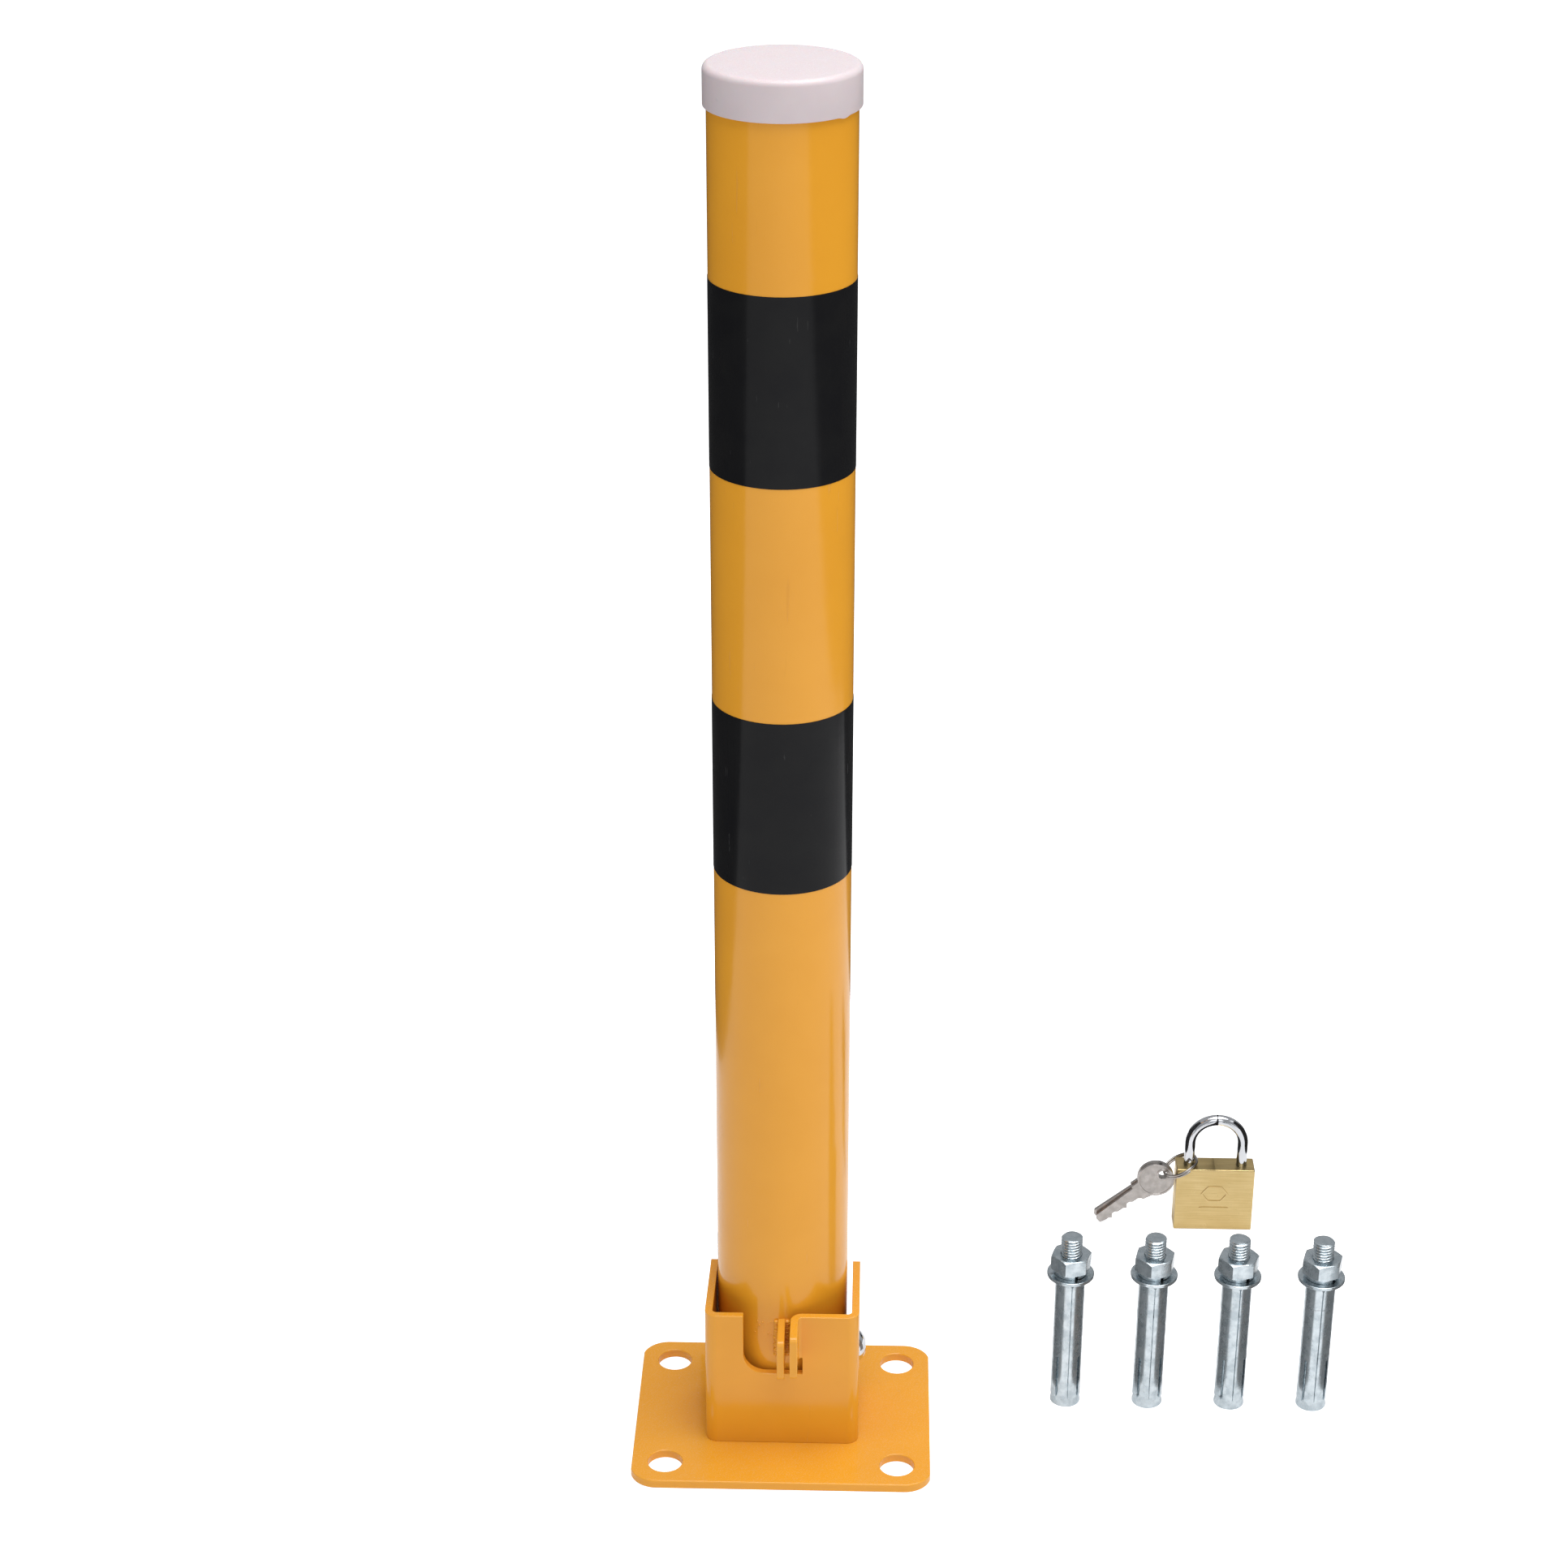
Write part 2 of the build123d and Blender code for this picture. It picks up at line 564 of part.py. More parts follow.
def cone_grip():
    """The height at which the cone has narrowed to the sleeve's bore."""
    return CONE_LIP + (CONE_DIAMETER / 2 - STUD_RADIUS) / CONE_SLOPE


def flat_washer():
    return tube(FLAT_WASHER_DIAMETER / 2, ANCHOR_BORE, FLAT_WASHER_BOTTOM, FLAT_WASHER_THICKNESS)


def spring_washer():
    """A split ring, cut at a slant."""
    ring = tube(SPRING_WASHER_DIAMETER / 2, ANCHOR_BORE, SPRING_WASHER_BOTTOM, SPRING_WASHER_THICKNESS)
    cut = Box(SPRING_WASHER_SPLIT, SPRING_WASHER_DIAMETER, 3 * SPRING_WASHER_THICKNESS)
    middle = SPRING_WASHER_BOTTOM + SPRING_WASHER_THICKNESS / 2
    return ring - Pos(0, -SPRING_WASHER_DIAMETER / 2, middle) * Rot(0, SPRING_WASHER_SLANT, 0) * cut


def anchor_nut():
    """A hexagon nut, its corners turned off at both ends."""
    prism = extrude(RegularPolygon(NUT_ACROSS_FLATS / 2, 6, major_radius=False), NUT_HEIGHT)
    corner = NUT_ACROSS_FLATS / math.sqrt(3)
    face = NUT_ACROSS_FLATS / 2 * NUT_FACE_SHARE
    drop = (corner - face) * math.tan(math.radians(NUT_CHAMFER_ANGLE))
    profile = [(0, 0), (face, 0), (corner, drop)]
    profile += [(corner, NUT_HEIGHT - drop), (face, NUT_HEIGHT), (0, NUT_HEIGHT)]
    turned = revolved(profile)
    bore = upright(STUD_RADIUS + RUNNING_FIT, 0, NUT_HEIGHT)
    return Pos(0, 0, NUT_BOTTOM) * (common(prism, turned) - bore)


def anchor_parts():
    """Every piece of every anchor, in its place."""
    parts = {}
    for index in range(ANCHOR_COUNT):
        place = Pos(ANCHOR_ROW_X + index * ANCHOR_PITCH, ANCHOR_ROW_Y, 0)
        seam_turn = Rot(0, 0, SEAM_TURNS[index])
        nut_turn = Rot(0, 0, NUT_TURNS[index])
        name = f"anchor_{index + 1}"
        parts[f"{name}_stud"] = place * anchor_stud()
        parts[f"{name}_sleeve"] = place * seam_turn * anchor_sleeve()
        parts[f"{name}_flat_washer"] = place * flat_washer()
        parts[f"{name}_spring_washer"] = place * seam_turn * spring_washer()
        parts[f"{name}_nut"] = place * nut_turn * anchor_nut()
    return parts


# ---- Padlock: built about its own bottom centre ----


def pin_heights():
    return [FIRST_PIN_HEIGHT + index * PIN_PITCH for index in range(PIN_COUNT)]


def latch_tip():
    """Where the drawn-back latch ends, just inside the short leg's bore wall."""
    return LEG_X - LEG_BORE - FEELING_GAP


def lock_body():
    """The brass block: bored for the shackle, the plug, the latch and the pins."""
    body = block(
        (-LOCK_WIDTH / 2, -LOCK_THICKNESS / 2, 0), (LOCK_WIDTH / 2, LOCK_THICKNESS / 2, LOCK_HEIGHT)
    )
    body = fillet(body.edges(), LOCK_EDGE_RADIUS)
    long_bore = block_bore(-LEG_X, PIN_RADIUS + LOCK_EDGE_RADIUS)
    short_bore = block_bore(LEG_X, SHORT_LEG_END - FEELING_GAP - LEG_CLEARANCE)
    body -= [long_bore, short_bore, upright(PLUG_BORE, 0, PLUG_LENGTH + LEG_CLEARANCE)]
    half = LATCH_SQUARE / 2 + PLUG_CLEARANCE
    body -= block((LATCH_CAVITY_END, -half, LATCH_HEIGHT - half), (LEG_X, half, LATCH_HEIGHT + half))
    peg_sweep = DRIVE_PEG_OFFSET + DRIVE_PEG_DIAMETER / 2 + LEG_CLEARANCE
    body -= upright(peg_sweep, PLUG_LENGTH, LATCH_HEIGHT + half - PLUG_LENGTH)
    body -= rod_along_y(STOP_PIN_DIAMETER / 2, LOCK_THICKNESS, stop_pin_x(), STOP_PIN_HEIGHT)
    body -= rod_along_y(STOP_PIN_DIAMETER / 2, LOCK_THICKNESS, retaining_pin_x(), PLUG_GROOVE_HEIGHT)
    for height in pin_heights():
        body -= rod_along_x(PIN_BORE, 0, CHAMBER_END, 0, height)
    return body


def block_bore(x, bottom):
    return Pos(x, 0, 0) * upright(LEG_BORE, bottom, LOCK_HEIGHT - bottom)


def stop_pin_x():
    """The cross pin runs beside the long leg's neck."""
    return -LEG_X + LEG_RADIUS - LEG_GROOVE_DEPTH + STOP_PIN_DIAMETER / 2 + FEELING_GAP


def retaining_pin_x():
    return -(PLUG_RADIUS - PLUG_GROOVE_DEPTH + STOP_PIN_DIAMETER / 2 + FEELING_GAP)


def shackle():
    """The hardened bow: a long leg with a neck, a short leg with a notch for the latch."""
    arc_centre = LOCK_HEIGHT + SHACKLE_RISE - SHACKLE_OUTER_WIDTH / 2
    path = Wire(
        [
            Line((-LEG_X, 0, LONG_LEG_END), (-LEG_X, 0, arc_centre)),
            ThreePointArc((-LEG_X, 0, arc_centre), (0, 0, arc_centre + LEG_X), (LEG_X, 0, arc_centre)),
            Line((LEG_X, 0, arc_centre), (LEG_X, 0, SHORT_LEG_END)),
        ]
    )
    bow = sweep(Plane(origin=(-LEG_X, 0, LONG_LEG_END), z_dir=(0, 0, 1)) * Circle(LEG_RADIUS), path=path)
    pin_space = STOP_PIN_DIAMETER / 2 + FEELING_GAP
    neck_bottom = STOP_PIN_HEIGHT - pin_space - SHACKLE_LIFT
    neck = tube(LEG_RADIUS * 2, LEG_RADIUS - LEG_GROOVE_DEPTH, neck_bottom, SHACKLE_LIFT + 2 * pin_space)
    half = LATCH_SQUARE / 2 + LEG_CLEARANCE
    reach = latch_tip() + DRIVE_PEG_OFFSET + 2 * LEG_CLEARANCE
    latch_notch = block(
        (0, -SHACKLE_DIAMETER, LATCH_HEIGHT - half), (reach, SHACKLE_DIAMETER, LATCH_HEIGHT + half)
    )
    return bow - Pos(-LEG_X, 0, 0) * neck - latch_notch


def coil(radius, wire_radius, bottom, length):
    """A compression spring about the Z axis, as a helix of round wire."""
    span = length - 2 * wire_radius
    turns = max(3, round(span / (4 * wire_radius)))
    start = bottom + wire_radius
    path = Helix(span / turns, span, radius - wire_radius, center=(0, 0, start))
    section = Plane(origin=path @ 0, z_dir=path % 0) * Circle(wire_radius)
    return sweep(section, path=path)


def shackle_spring():
    bottom = PIN_RADIUS + LOCK_EDGE_RADIUS + FEELING_GAP
    radius = LEG_RADIUS - LEG_CLEARANCE
    spring = coil(radius, radius * SPRING_WIRE_SHARE, bottom, LONG_LEG_END - FEELING_GAP - bottom)
    return Pos(-LEG_X, 0, 0) * spring


def lock_plug():
    """The cylinder that the key turns: keyway, key-pin holes, groove and an off-centre drive peg."""
    plug = upright(PLUG_RADIUS, 0, PLUG_LENGTH)
    groove_half = STOP_PIN_DIAMETER / 2 + FEELING_GAP
    groove_root = PLUG_RADIUS - PLUG_GROOVE_DEPTH
    plug -= tube(PLUG_DIAMETER, groove_root, PLUG_GROOVE_HEIGHT - groove_half, 2 * groove_half)
    keyway_end = (KEYWAY_WIDTH / 2, KEYWAY_DEPTH - PLUG_RADIUS, PLUG_LENGTH - KEYWAY_END_WALL)
    plug -= block((-KEYWAY_WIDTH / 2, -PLUG_RADIUS, 0), keyway_end)
    for height in pin_heights():
        plug -= rod_along_y(PIN_BORE, PLUG_DIAMETER, 0, height)
    peg_height = LATCH_HEIGHT + LATCH_SQUARE / 2 - LATCH_ROOF - PLUG_LENGTH - LEG_CLEARANCE
    return plug + Pos(-DRIVE_PEG_OFFSET, 0, 0) * upright(DRIVE_PEG_DIAMETER / 2, PLUG_LENGTH, peg_height)


def key_pins():
    """Brass pins inside the plug, which is turned a quarter turn from its locked place."""
    pins = []
    inside = upright(PLUG_RADIUS - FEELING_GAP, 0, PLUG_LENGTH)
    for height, length in zip(pin_heights(), KEY_PIN_LENGTHS):
        centre = PLUG_RADIUS - FEELING_GAP - length / 2
        pins.append(common(Pos(0, centre, 0) * rod_along_y(PIN_RADIUS, length, 0, height), inside))
    return Compound(pins)


def driver_start():
    return PLUG_RADIUS + PLUG_CLEARANCE


def driver_pins():
    start = driver_start()
    return Compound([rod_along_x(PIN_RADIUS, start, start + DRIVER_LENGTH, 0, z) for z in pin_heights()])


def pin_springs():
    start = driver_start() + DRIVER_LENGTH + FEELING_GAP
    length = CHAMBER_END - CHAMBER_PLUG_LENGTH - FEELING_GAP - start
    spring = Rot(0, 90, 0) * coil(PIN_RADIUS, PIN_RADIUS * SPRING_WIRE_SHARE, 0, length)
    return Compound([Pos(start, 0, z) * spring for z in pin_heights()])


def chamber_plugs():
    start = CHAMBER_END - CHAMBER_PLUG_LENGTH
    return Compound([rod_along_x(PIN_BORE, start, CHAMBER_END - FEELING_GAP, 0, z) for z in pin_heights()])


def latch():
    """The bolt between plug and shackle, drawn back, with a cross slot in its underside for the peg."""
    half = LATCH_SQUARE / 2
    bolt = block((-LATCH_TAIL, -half, LATCH_HEIGHT - half), (latch_tip(), half, LATCH_HEIGHT + half))
    peg_space = DRIVE_PEG_DIAMETER / 2 + LEG_CLEARANCE
    slot = block(
        (-DRIVE_PEG_OFFSET - peg_space - DRIVE_LOST_MOTION, -LATCH_SQUARE, LATCH_HEIGHT - LATCH_SQUARE),
        (-DRIVE_PEG_OFFSET + peg_space, LATCH_SQUARE, LATCH_HEIGHT + half - LATCH_ROOF),
    )
    return bolt - slot


def latch_spring():
    radius = (LATCH_SQUARE - SPRING_SIDE_GAP) / 2
    length = LATCH_SPRING_LENGTH - 2 * FEELING_GAP
    spring = Rot(0, 90, 0) * coil(radius, radius * SPRING_WIRE_SHARE, 0, length)
    return Pos(LATCH_CAVITY_END + FEELING_GAP, 0, LATCH_HEIGHT) * spring


def stop_pin(x, height):
    return rod_along_y(STOP_PIN_DIAMETER / 2, LOCK_THICKNESS - 2 * FEELING_GAP, x, height)


def lock_parts():
    place = Pos(LOCK_X, LOCK_Y, 0)
    parts = {
        "padlock_body": lock_body(),
        "shackle": shackle(),
        "shackle_spring": shackle_spring(),
        "shackle_stop_pin": stop_pin(stop_pin_x(), STOP_PIN_HEIGHT),
        "plug_retaining_pin": stop_pin(retaining_pin_x(), PLUG_GROOVE_HEIGHT),
        "lock_plug": lock_plug(),
        "key_pins": key_pins(),
        "driver_pins": driver_pins(),
        "pin_springs": pin_springs(),
        "chamber_plugs": chamber_plugs(),
        "latch": latch(),
        "latch_spring": latch_spring(),
    }
    return {name: place * shape for name, shape in parts.items()}


# ---- Split ring and keys, in the padlock's own frame ----


def ring_centre():
    """The ring hangs on the left leg and rests on the body's two top edges."""
    section = RING_WIRE / 2 * (1 + math.cos(SLOPE))
    side_reach = LOCK_THICKNESS / 2 + RING_WIRE / 2 + RING_TOUCH_GAP
    along = math.sqrt(RING_RADIUS**2 - side_reach**2)
    height = LOCK_HEIGHT + section + RING_TOUCH_GAP - along * math.sin(SLOPE)
    inner_edge = (RING_RADIUS - RING_WIRE / 2) * math.cos(SLOPE) - RING_WIRE / 2 * math.sin(SLOPE)
    return Vector(-LEG_X + LEG_RADIUS + RING_TOUCH_GAP - inner_edge, 0, height)


def key_ring():
    """Two turns of round wire side by side, joined where they meet."""
    half = RING_WIRE / 2
    upper = Pos(0, 0, half) * Torus(RING_RADIUS, half)
    lower = Pos(0, 0, -half) * Torus(RING_RADIUS, half)
    web = tube(RING_RADIUS + half / 3, RING_RADIUS - half / 3, -half, RING_WIRE)
    return Pos(*ring_centre()) * Rot(0, -RING_SLOPE, 0) * (upper + lower + web)


def key_pivot():
    """The ring's lowest point, which carries the keys."""
    along = Vector(-math.cos(SLOPE), 0, -math.sin(SLOPE))
    return ring_centre() + along * RING_RADIUS


def key_lean():
    """The angle below the horizontal at which a hanging key's tip just clears the ground."""
    reach = KEY_HANG + KEY_HOLE_OFFSET + KEY_LENGTH - BOW_RADIUS
    return math.asin((key_pivot().Z - TIP_GAP - key_tip_corner()) / reach)


def key_tip_corner():
    """How far the tip's lower corner lies below the key's centre line."""
    return max(0.0, BLADE_WIDTH - max(KEY_CUT_DEPTHS) - BLADE_BACK) + TIP_GAP


def blade_outline():
    """Straight back above, a row of cuts below, with a slanted tip, from the bow outwards."""
    shoulder = BOW_RADIUS * KEY_SHOULDER_SHARE
    shoulder_end = BOW_RADIUS + KEY_SHOULDER_LENGTH
    shoulder_top = BLADE_BACK + KEY_SHOULDER_STEP
    tip = KEY_LENGTH - BOW_RADIUS
    low = BLADE_BACK - BLADE_WIDTH
    points = [(shoulder, shoulder_top), (shoulder_end, shoulder_top), (shoulder_end, BLADE_BACK)]
    points += [(tip - KEY_TIP_BEVEL, BLADE_BACK), (tip, BLADE_BACK - KEY_TIP_BEVEL)]
    points.append((tip, low + KEY_CUT_DEPTHS[-1] + KEY_TIP_STEP))
    pitch = (tip - shoulder_end - KEY_TIP_BLANK) / len(KEY_CUT_DEPTHS)
    for index in reversed(range(len(KEY_CUT_DEPTHS))):
        floor = low + KEY_CUT_DEPTHS[index]
        middle = shoulder_end + (index + 0.5) * pitch
        points.append((middle + pitch * CUT_FLOOR_SPAN[1], floor))
        points.append((middle + pitch * CUT_FLOOR_SPAN[0], floor))
        points.append((middle + pitch * CUT_RAMP_START, floor - CUT_RAMP_HEIGHT))
    points += [(shoulder_end, low), (shoulder, low - KEY_SHOULDER_STEP)]
    return points


def key_blank():
    """A key lying along +X in the XZ plane, its bow centred on the origin."""
    bow = Circle(BOW_RADIUS)
    blade = make_face(Polyline(*blade_outline(), close=True))
    hole = Pos(-KEY_HOLE_OFFSET, 0) * Circle(KEY_HOLE_RADIUS)
    flat = extrude(Plane.XZ * (bow + blade - hole), KEY_THICKNESS / 2, both=True)
    recess_plan = Circle(BOW_RADIUS - BOW_RIM_WIDTH) - Pos(-KEY_HOLE_OFFSET, 0) * Circle(
        KEY_HOLE_RADIUS + BOW_RIM_WIDTH
    )
    recess = Pos(0, KEY_THICKNESS / 2, 0) * extrude(Plane.XZ * recess_plan, BOW_RECESS, both=True)
    groove_low = BLADE_BACK - BLADE_WIDTH * KEY_GROOVE_DROP
    groove = block(
        (BOW_RADIUS * KEY_GROOVE_START, -KEY_THICKNESS, groove_low),
        (KEY_LENGTH, BOW_RECESS * 2 - KEY_THICKNESS / 2, groove_low + KEY_GROOVE_WIDTH),
    )
    return flat - recess - mirror(recess, Plane.XZ) - groove


def hung_key(side, lean):
    """A key on the ring, leaning down to the left, on one side of the stack."""
    offset = side * (KEY_THICKNESS + KEY_GAP) / 2
    outward = Pos(KEY_HANG + KEY_HOLE_OFFSET, 0, 0) * key_blank()
    leaning = Rot(0, 180 - math.degrees(lean), 0) * Rot(180, 0, 0) * outward
    return Pos(*key_pivot()) * Pos(0, offset, 0) * leaning


def ring_parts():
    place = Pos(LOCK_X, LOCK_Y, 0)
    lean = key_lean()
    return {
        "key_ring": place * key_ring(),
        "key_1": place * hung_key(-1, lean),
        "key_2": place * hung_key(1, lean - math.radians(SECOND_KEY_SPREAD)),
    }


def fixed_parts():
    return {
        "base_plate": base_plate(),
        "socket": socket(),
        "socket_welds": socket_welds(),
        "hinge_bolt": hinge_bolt(),
        "hinge_nut": hinge_nut(),
        "hinge_washer_right": hinge_washer(TUBE_RADIUS + POST_SHIFT),
        "hinge_washer_left": mirror(hinge_washer(TUBE_RADIUS - POST_SHIFT), Plane.YZ),
    }


def post_parts():
    return {
        "post_tube": post_tube(),
        "hinge_sleeve": hinge_sleeve(),
        "post_ear": post_ear(),
        "post_ear_weld": post_ear_weld(),
        "post_cap": post_cap(),
        "band_lower": band(LOWER_BAND_BOTTOM),
        "band_upper": band(UPPER_BAND_BOTTOM),
    }


def main():
    os.makedirs("parts", exist_ok=True)
    nodes = {**fixed_parts(), **post_parts(), **anchor_parts(), **lock_parts(), **ring_parts()}
    for name, shape in nodes.items():
        export_step(as_node(shape), f"parts/{name}.step")
    pivot = key_pivot()
    print("hinge axis", POST_SETBACK, PIVOT_HEIGHT)
    print("key pivot", LOCK_X + pivot.X, LOCK_Y, pivot.Z, "lean", math.degrees(key_lean()))
    print("padlock hole", PADLOCK_HOLE_Y, PADLOCK_HOLE_Z, "from", POST_EAR_LEFT, "to", SOCKET_EAR_RIGHT)


main()
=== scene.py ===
# %% [markdown]
# A folding parking post in a studio. The steel base, the post, the padlock with its keys and the four
# ground anchors come from the CAD model as a fixed frame. This lesson gives them what the CAD model
# leaves out: rolled and punched edges, weld ripples, real threads, a sprung key ring, and finishes such
# as gloss enamel, zinc plate and brushed brass. Every size is in metres, and every place is read from the
# frame.

# %% Load the frame
import json
import math

import bmesh
import bpy
from mathutils import Matrix, Vector


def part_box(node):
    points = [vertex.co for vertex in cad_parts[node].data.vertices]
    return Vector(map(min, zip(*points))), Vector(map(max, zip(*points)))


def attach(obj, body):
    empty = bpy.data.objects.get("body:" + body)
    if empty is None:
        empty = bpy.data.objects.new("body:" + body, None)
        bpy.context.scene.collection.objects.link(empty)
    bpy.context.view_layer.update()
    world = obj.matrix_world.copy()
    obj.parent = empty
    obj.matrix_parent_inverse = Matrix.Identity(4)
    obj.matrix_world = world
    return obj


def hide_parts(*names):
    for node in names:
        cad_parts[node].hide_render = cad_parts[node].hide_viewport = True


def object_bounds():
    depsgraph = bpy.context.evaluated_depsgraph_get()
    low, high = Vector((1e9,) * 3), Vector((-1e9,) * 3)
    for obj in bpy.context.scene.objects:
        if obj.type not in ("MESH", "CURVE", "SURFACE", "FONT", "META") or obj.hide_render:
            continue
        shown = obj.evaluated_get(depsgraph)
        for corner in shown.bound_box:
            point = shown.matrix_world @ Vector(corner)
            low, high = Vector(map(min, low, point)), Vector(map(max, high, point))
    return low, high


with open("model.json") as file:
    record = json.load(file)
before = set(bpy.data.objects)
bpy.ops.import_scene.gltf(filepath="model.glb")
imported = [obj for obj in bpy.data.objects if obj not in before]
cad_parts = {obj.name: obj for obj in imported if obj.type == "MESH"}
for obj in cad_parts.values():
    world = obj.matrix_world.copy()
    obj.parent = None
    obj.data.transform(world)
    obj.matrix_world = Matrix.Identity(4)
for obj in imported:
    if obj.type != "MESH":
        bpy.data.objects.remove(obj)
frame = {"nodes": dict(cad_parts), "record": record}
cad_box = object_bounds()
MM = 0.001
ANCHORS = range(1, 5)
cad_size = [round(side / MM, 1) for side in cad_box[1] - cad_box[0]]
print("CAD nodes:", len(frame["nodes"]), "size in mm:", cad_size)

# %% [markdown]
# The camera stands in front of the post, at chest height, and looks down at it through a long lens, so
# that the sides stay nearly parallel. The lens is shifted upwards, as on a view camera, which keeps the
# tall post in view without tilting the camera back. A lens and its sensor are given in millimetres.

# %% Camera
CAMERA_PLACE = Vector((0.03769, -1.27484, 0.94189))
CAMERA_TURN = math.radians(1.69)
CAMERA_DROP = math.radians(26.93)
SENSOR_WIDTH = 36.0
LENS = 75.76
SHIFT_ACROSS, SHIFT_UP = 0.0003, 0.0517
camera = bpy.data.objects.new("camera", bpy.data.cameras.new("camera"))
bpy.context.scene.collection.objects.link(camera)
camera.data.sensor_width = SENSOR_WIDTH
camera.data.lens = LENS
camera.data.shift_x = SHIFT_ACROSS
camera.data.shift_y = SHIFT_UP
camera.location = CAMERA_PLACE
camera.rotation_euler = (math.pi / 2 - CAMERA_DROP, 0, CAMERA_TURN)
bpy.context.scene.camera = camera
bpy.context.scene.view_settings.view_transform = "Standard"
post_low, post_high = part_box("post_tube")
camera_distance = (CAMERA_PLACE - (post_low + post_high) / 2).length
print("camera to the middle of the post, in m:", round(camera_distance, 3))

# %% [markdown]
# A shader tree and a geometry tree are built in the same way: put a node down, set its inputs, and link
# it to the nodes before it. One helper does that. An input that is another node's output becomes a link,
# and anything else is a plain value. Three more helpers put down the nodes that are wanted again and
# again: a sum, a sum on vectors, and cloudy noise.


# %% Helpers for node trees
def add(tree, kind, inputs=None, **settings):
    """Puts a node in a tree and fills its inputs, each by its name or its number."""
    node = tree.nodes.new(kind)
    for name, value in settings.items():
        setattr(node, name, value)
    for name, value in (inputs or {}).items():
        if isinstance(value, bpy.types.NodeSocket):
            tree.links.new(value, node.inputs[name])
        else:
            node.inputs[name].default_value = value
    return node


def maths(tree, operation, *values, clamp=False):
    """One sum on values or node outputs. Gives its output."""
    node = add(tree, "ShaderNodeMath", dict(enumerate(values)), operation=operation, use_clamp=clamp)
    return node.outputs[0]


def vector_maths(tree, operation, first, second):
    """One sum on two vectors, or a vector scaled by a number. Gives its output."""
    inputs = {0: first, "Scale" if operation == "SCALE" else 1: second}
    return add(tree, "ShaderNodeVectorMath", inputs, operation=operation).outputs[0]


def cloud(tree, place, scale, detail):
    """Cloudy noise, its values about 0.5."""
    inputs = {"Vector": place, "Scale": scale, "Detail": detail}
    return add(tree, "ShaderNodeTexNoise", inputs).outputs["Fac"]


def rescale(tree, value, low, high, to_low=0.0, to_high=1.0, smooth=False):
    """Stretches low..high to to_low..to_high and clamps it."""
    inputs = {"Value": value, "From Min": low, "From Max": high, "To Min": to_low, "To Max": to_high}
    kind = "SMOOTHSTEP" if smooth else "LINEAR"
    return add(tree, "ShaderNodeMapRange", inputs, interpolation_type=kind).outputs[0]


def tint(tree, amount, first, second):
    """Mixes two colours. A Mix node's inputs are numbered: 0 is the factor, 6 and 7 are the colours."""
    return add(tree, "ShaderNodeMix", {0: amount, 6: first, 7: second}, data_type="RGBA").outputs[2]


def new_group(name, kind, inputs, outputs):
    """An empty node group with named sockets: (name, type, starting value) each."""
    tree = bpy.data.node_groups.new(name, kind)
    for label, socket, start in inputs:
        made = tree.interface.new_socket(label, in_out="INPUT", socket_type="NodeSocket" + socket)
        if start is not None:
            made.default_value = start
    for label, socket in outputs:
        tree.interface.new_socket(label, in_out="OUTPUT", socket_type="NodeSocket" + socket)
    return tree, tree.nodes.new("NodeGroupInput").outputs, tree.nodes.new("NodeGroupOutput").inputs


def spaced(values):
    """Keyword names as socket names, which have spaces."""
    return {label.replace("_", " "): value for label, value in values.items()}


# %% [markdown]
# Every real finish is uneven. Enamel pools, zinc crystals catch the light, tools leave lines and hands
# leave scratches. These effects are needed by several finishes, so each is a shader group, made once. A
# group gives only a mask from 0 to 1, and each finish decides what to do with it.


# %% Shader groups: patches, lines, edges, and dust with a painted sheen
def patches_group():
    """Soft irregular patches, so many per metre."""
    sockets = [("Vector", "Vector", None), ("Per Metre", "Float", 60.0), ("Contrast", "Float", 0.25)]
    tree, given, result = new_group("patches", "ShaderNodeTree", sockets, [("Mask", "Float")])
    lumps = cloud(tree, given["Vector"], given["Per Metre"], 3.0)
    low = maths(tree, "SUBTRACT", 0.5, given["Contrast"])
    high = maths(tree, "ADD", 0.5, given["Contrast"])
    tree.links.new(rescale(tree, lumps, low, high), result["Mask"])
    return tree


def lines_group():
    """Long thin lines: noise stretched along one axis. Stretch is in lines per metre, for each axis."""
    sockets = [("Vector", "Vector", None), ("Stretch", "Vector", (1, 1, 1)), ("Rarity", "Float", 0.6)]
    results = [("Lines", "Float"), ("Scratches", "Float")]
    tree, given, result = new_group("lines", "ShaderNodeTree", sockets, results)
    stretched = vector_maths(tree, "MULTIPLY", given["Vector"], given["Stretch"])
    grain = cloud(tree, stretched, 1.0, 4.0)
    tree.links.new(rescale(tree, grain, 0.3, 0.7), result["Lines"])
    above = maths(tree, "ADD", given["Rarity"], 0.03)
    tree.links.new(rescale(tree, grain, given["Rarity"], above), result["Scratches"])
    return tree


def edges_group():
    """The convex edges of a piece: where a rounded normal leaves the true one, broken up by noise."""
    sockets = [("Vector", "Vector", None), ("Radius", "Float", 0.4 * MM), ("Breakup", "Float", 0.4)]
    tree, given, result = new_group("edges", "ShaderNodeTree", sockets, [("Mask", "Float")])
    rounded = add(tree, "ShaderNodeBevel", {"Radius": given["Radius"]}, samples=4).outputs[0]
    normals = {0: rounded, 1: add(tree, "ShaderNodeNewGeometry").outputs["Normal"]}
    agree = add(tree, "ShaderNodeVectorMath", normals, operation="DOT_PRODUCT").outputs["Value"]
    edge = rescale(tree, agree, 1.0, 0.9)
    broken = rescale(tree, cloud(tree, given["Vector"], 900.0, 3.0), 0.35, 0.65)
    kept = maths(tree, "SUBTRACT", 1.0, maths(tree, "MULTIPLY", given["Breakup"], broken))
    tree.links.new(maths(tree, "MULTIPLY", edge, kept, clamp=True), result["Mask"])
    return tree


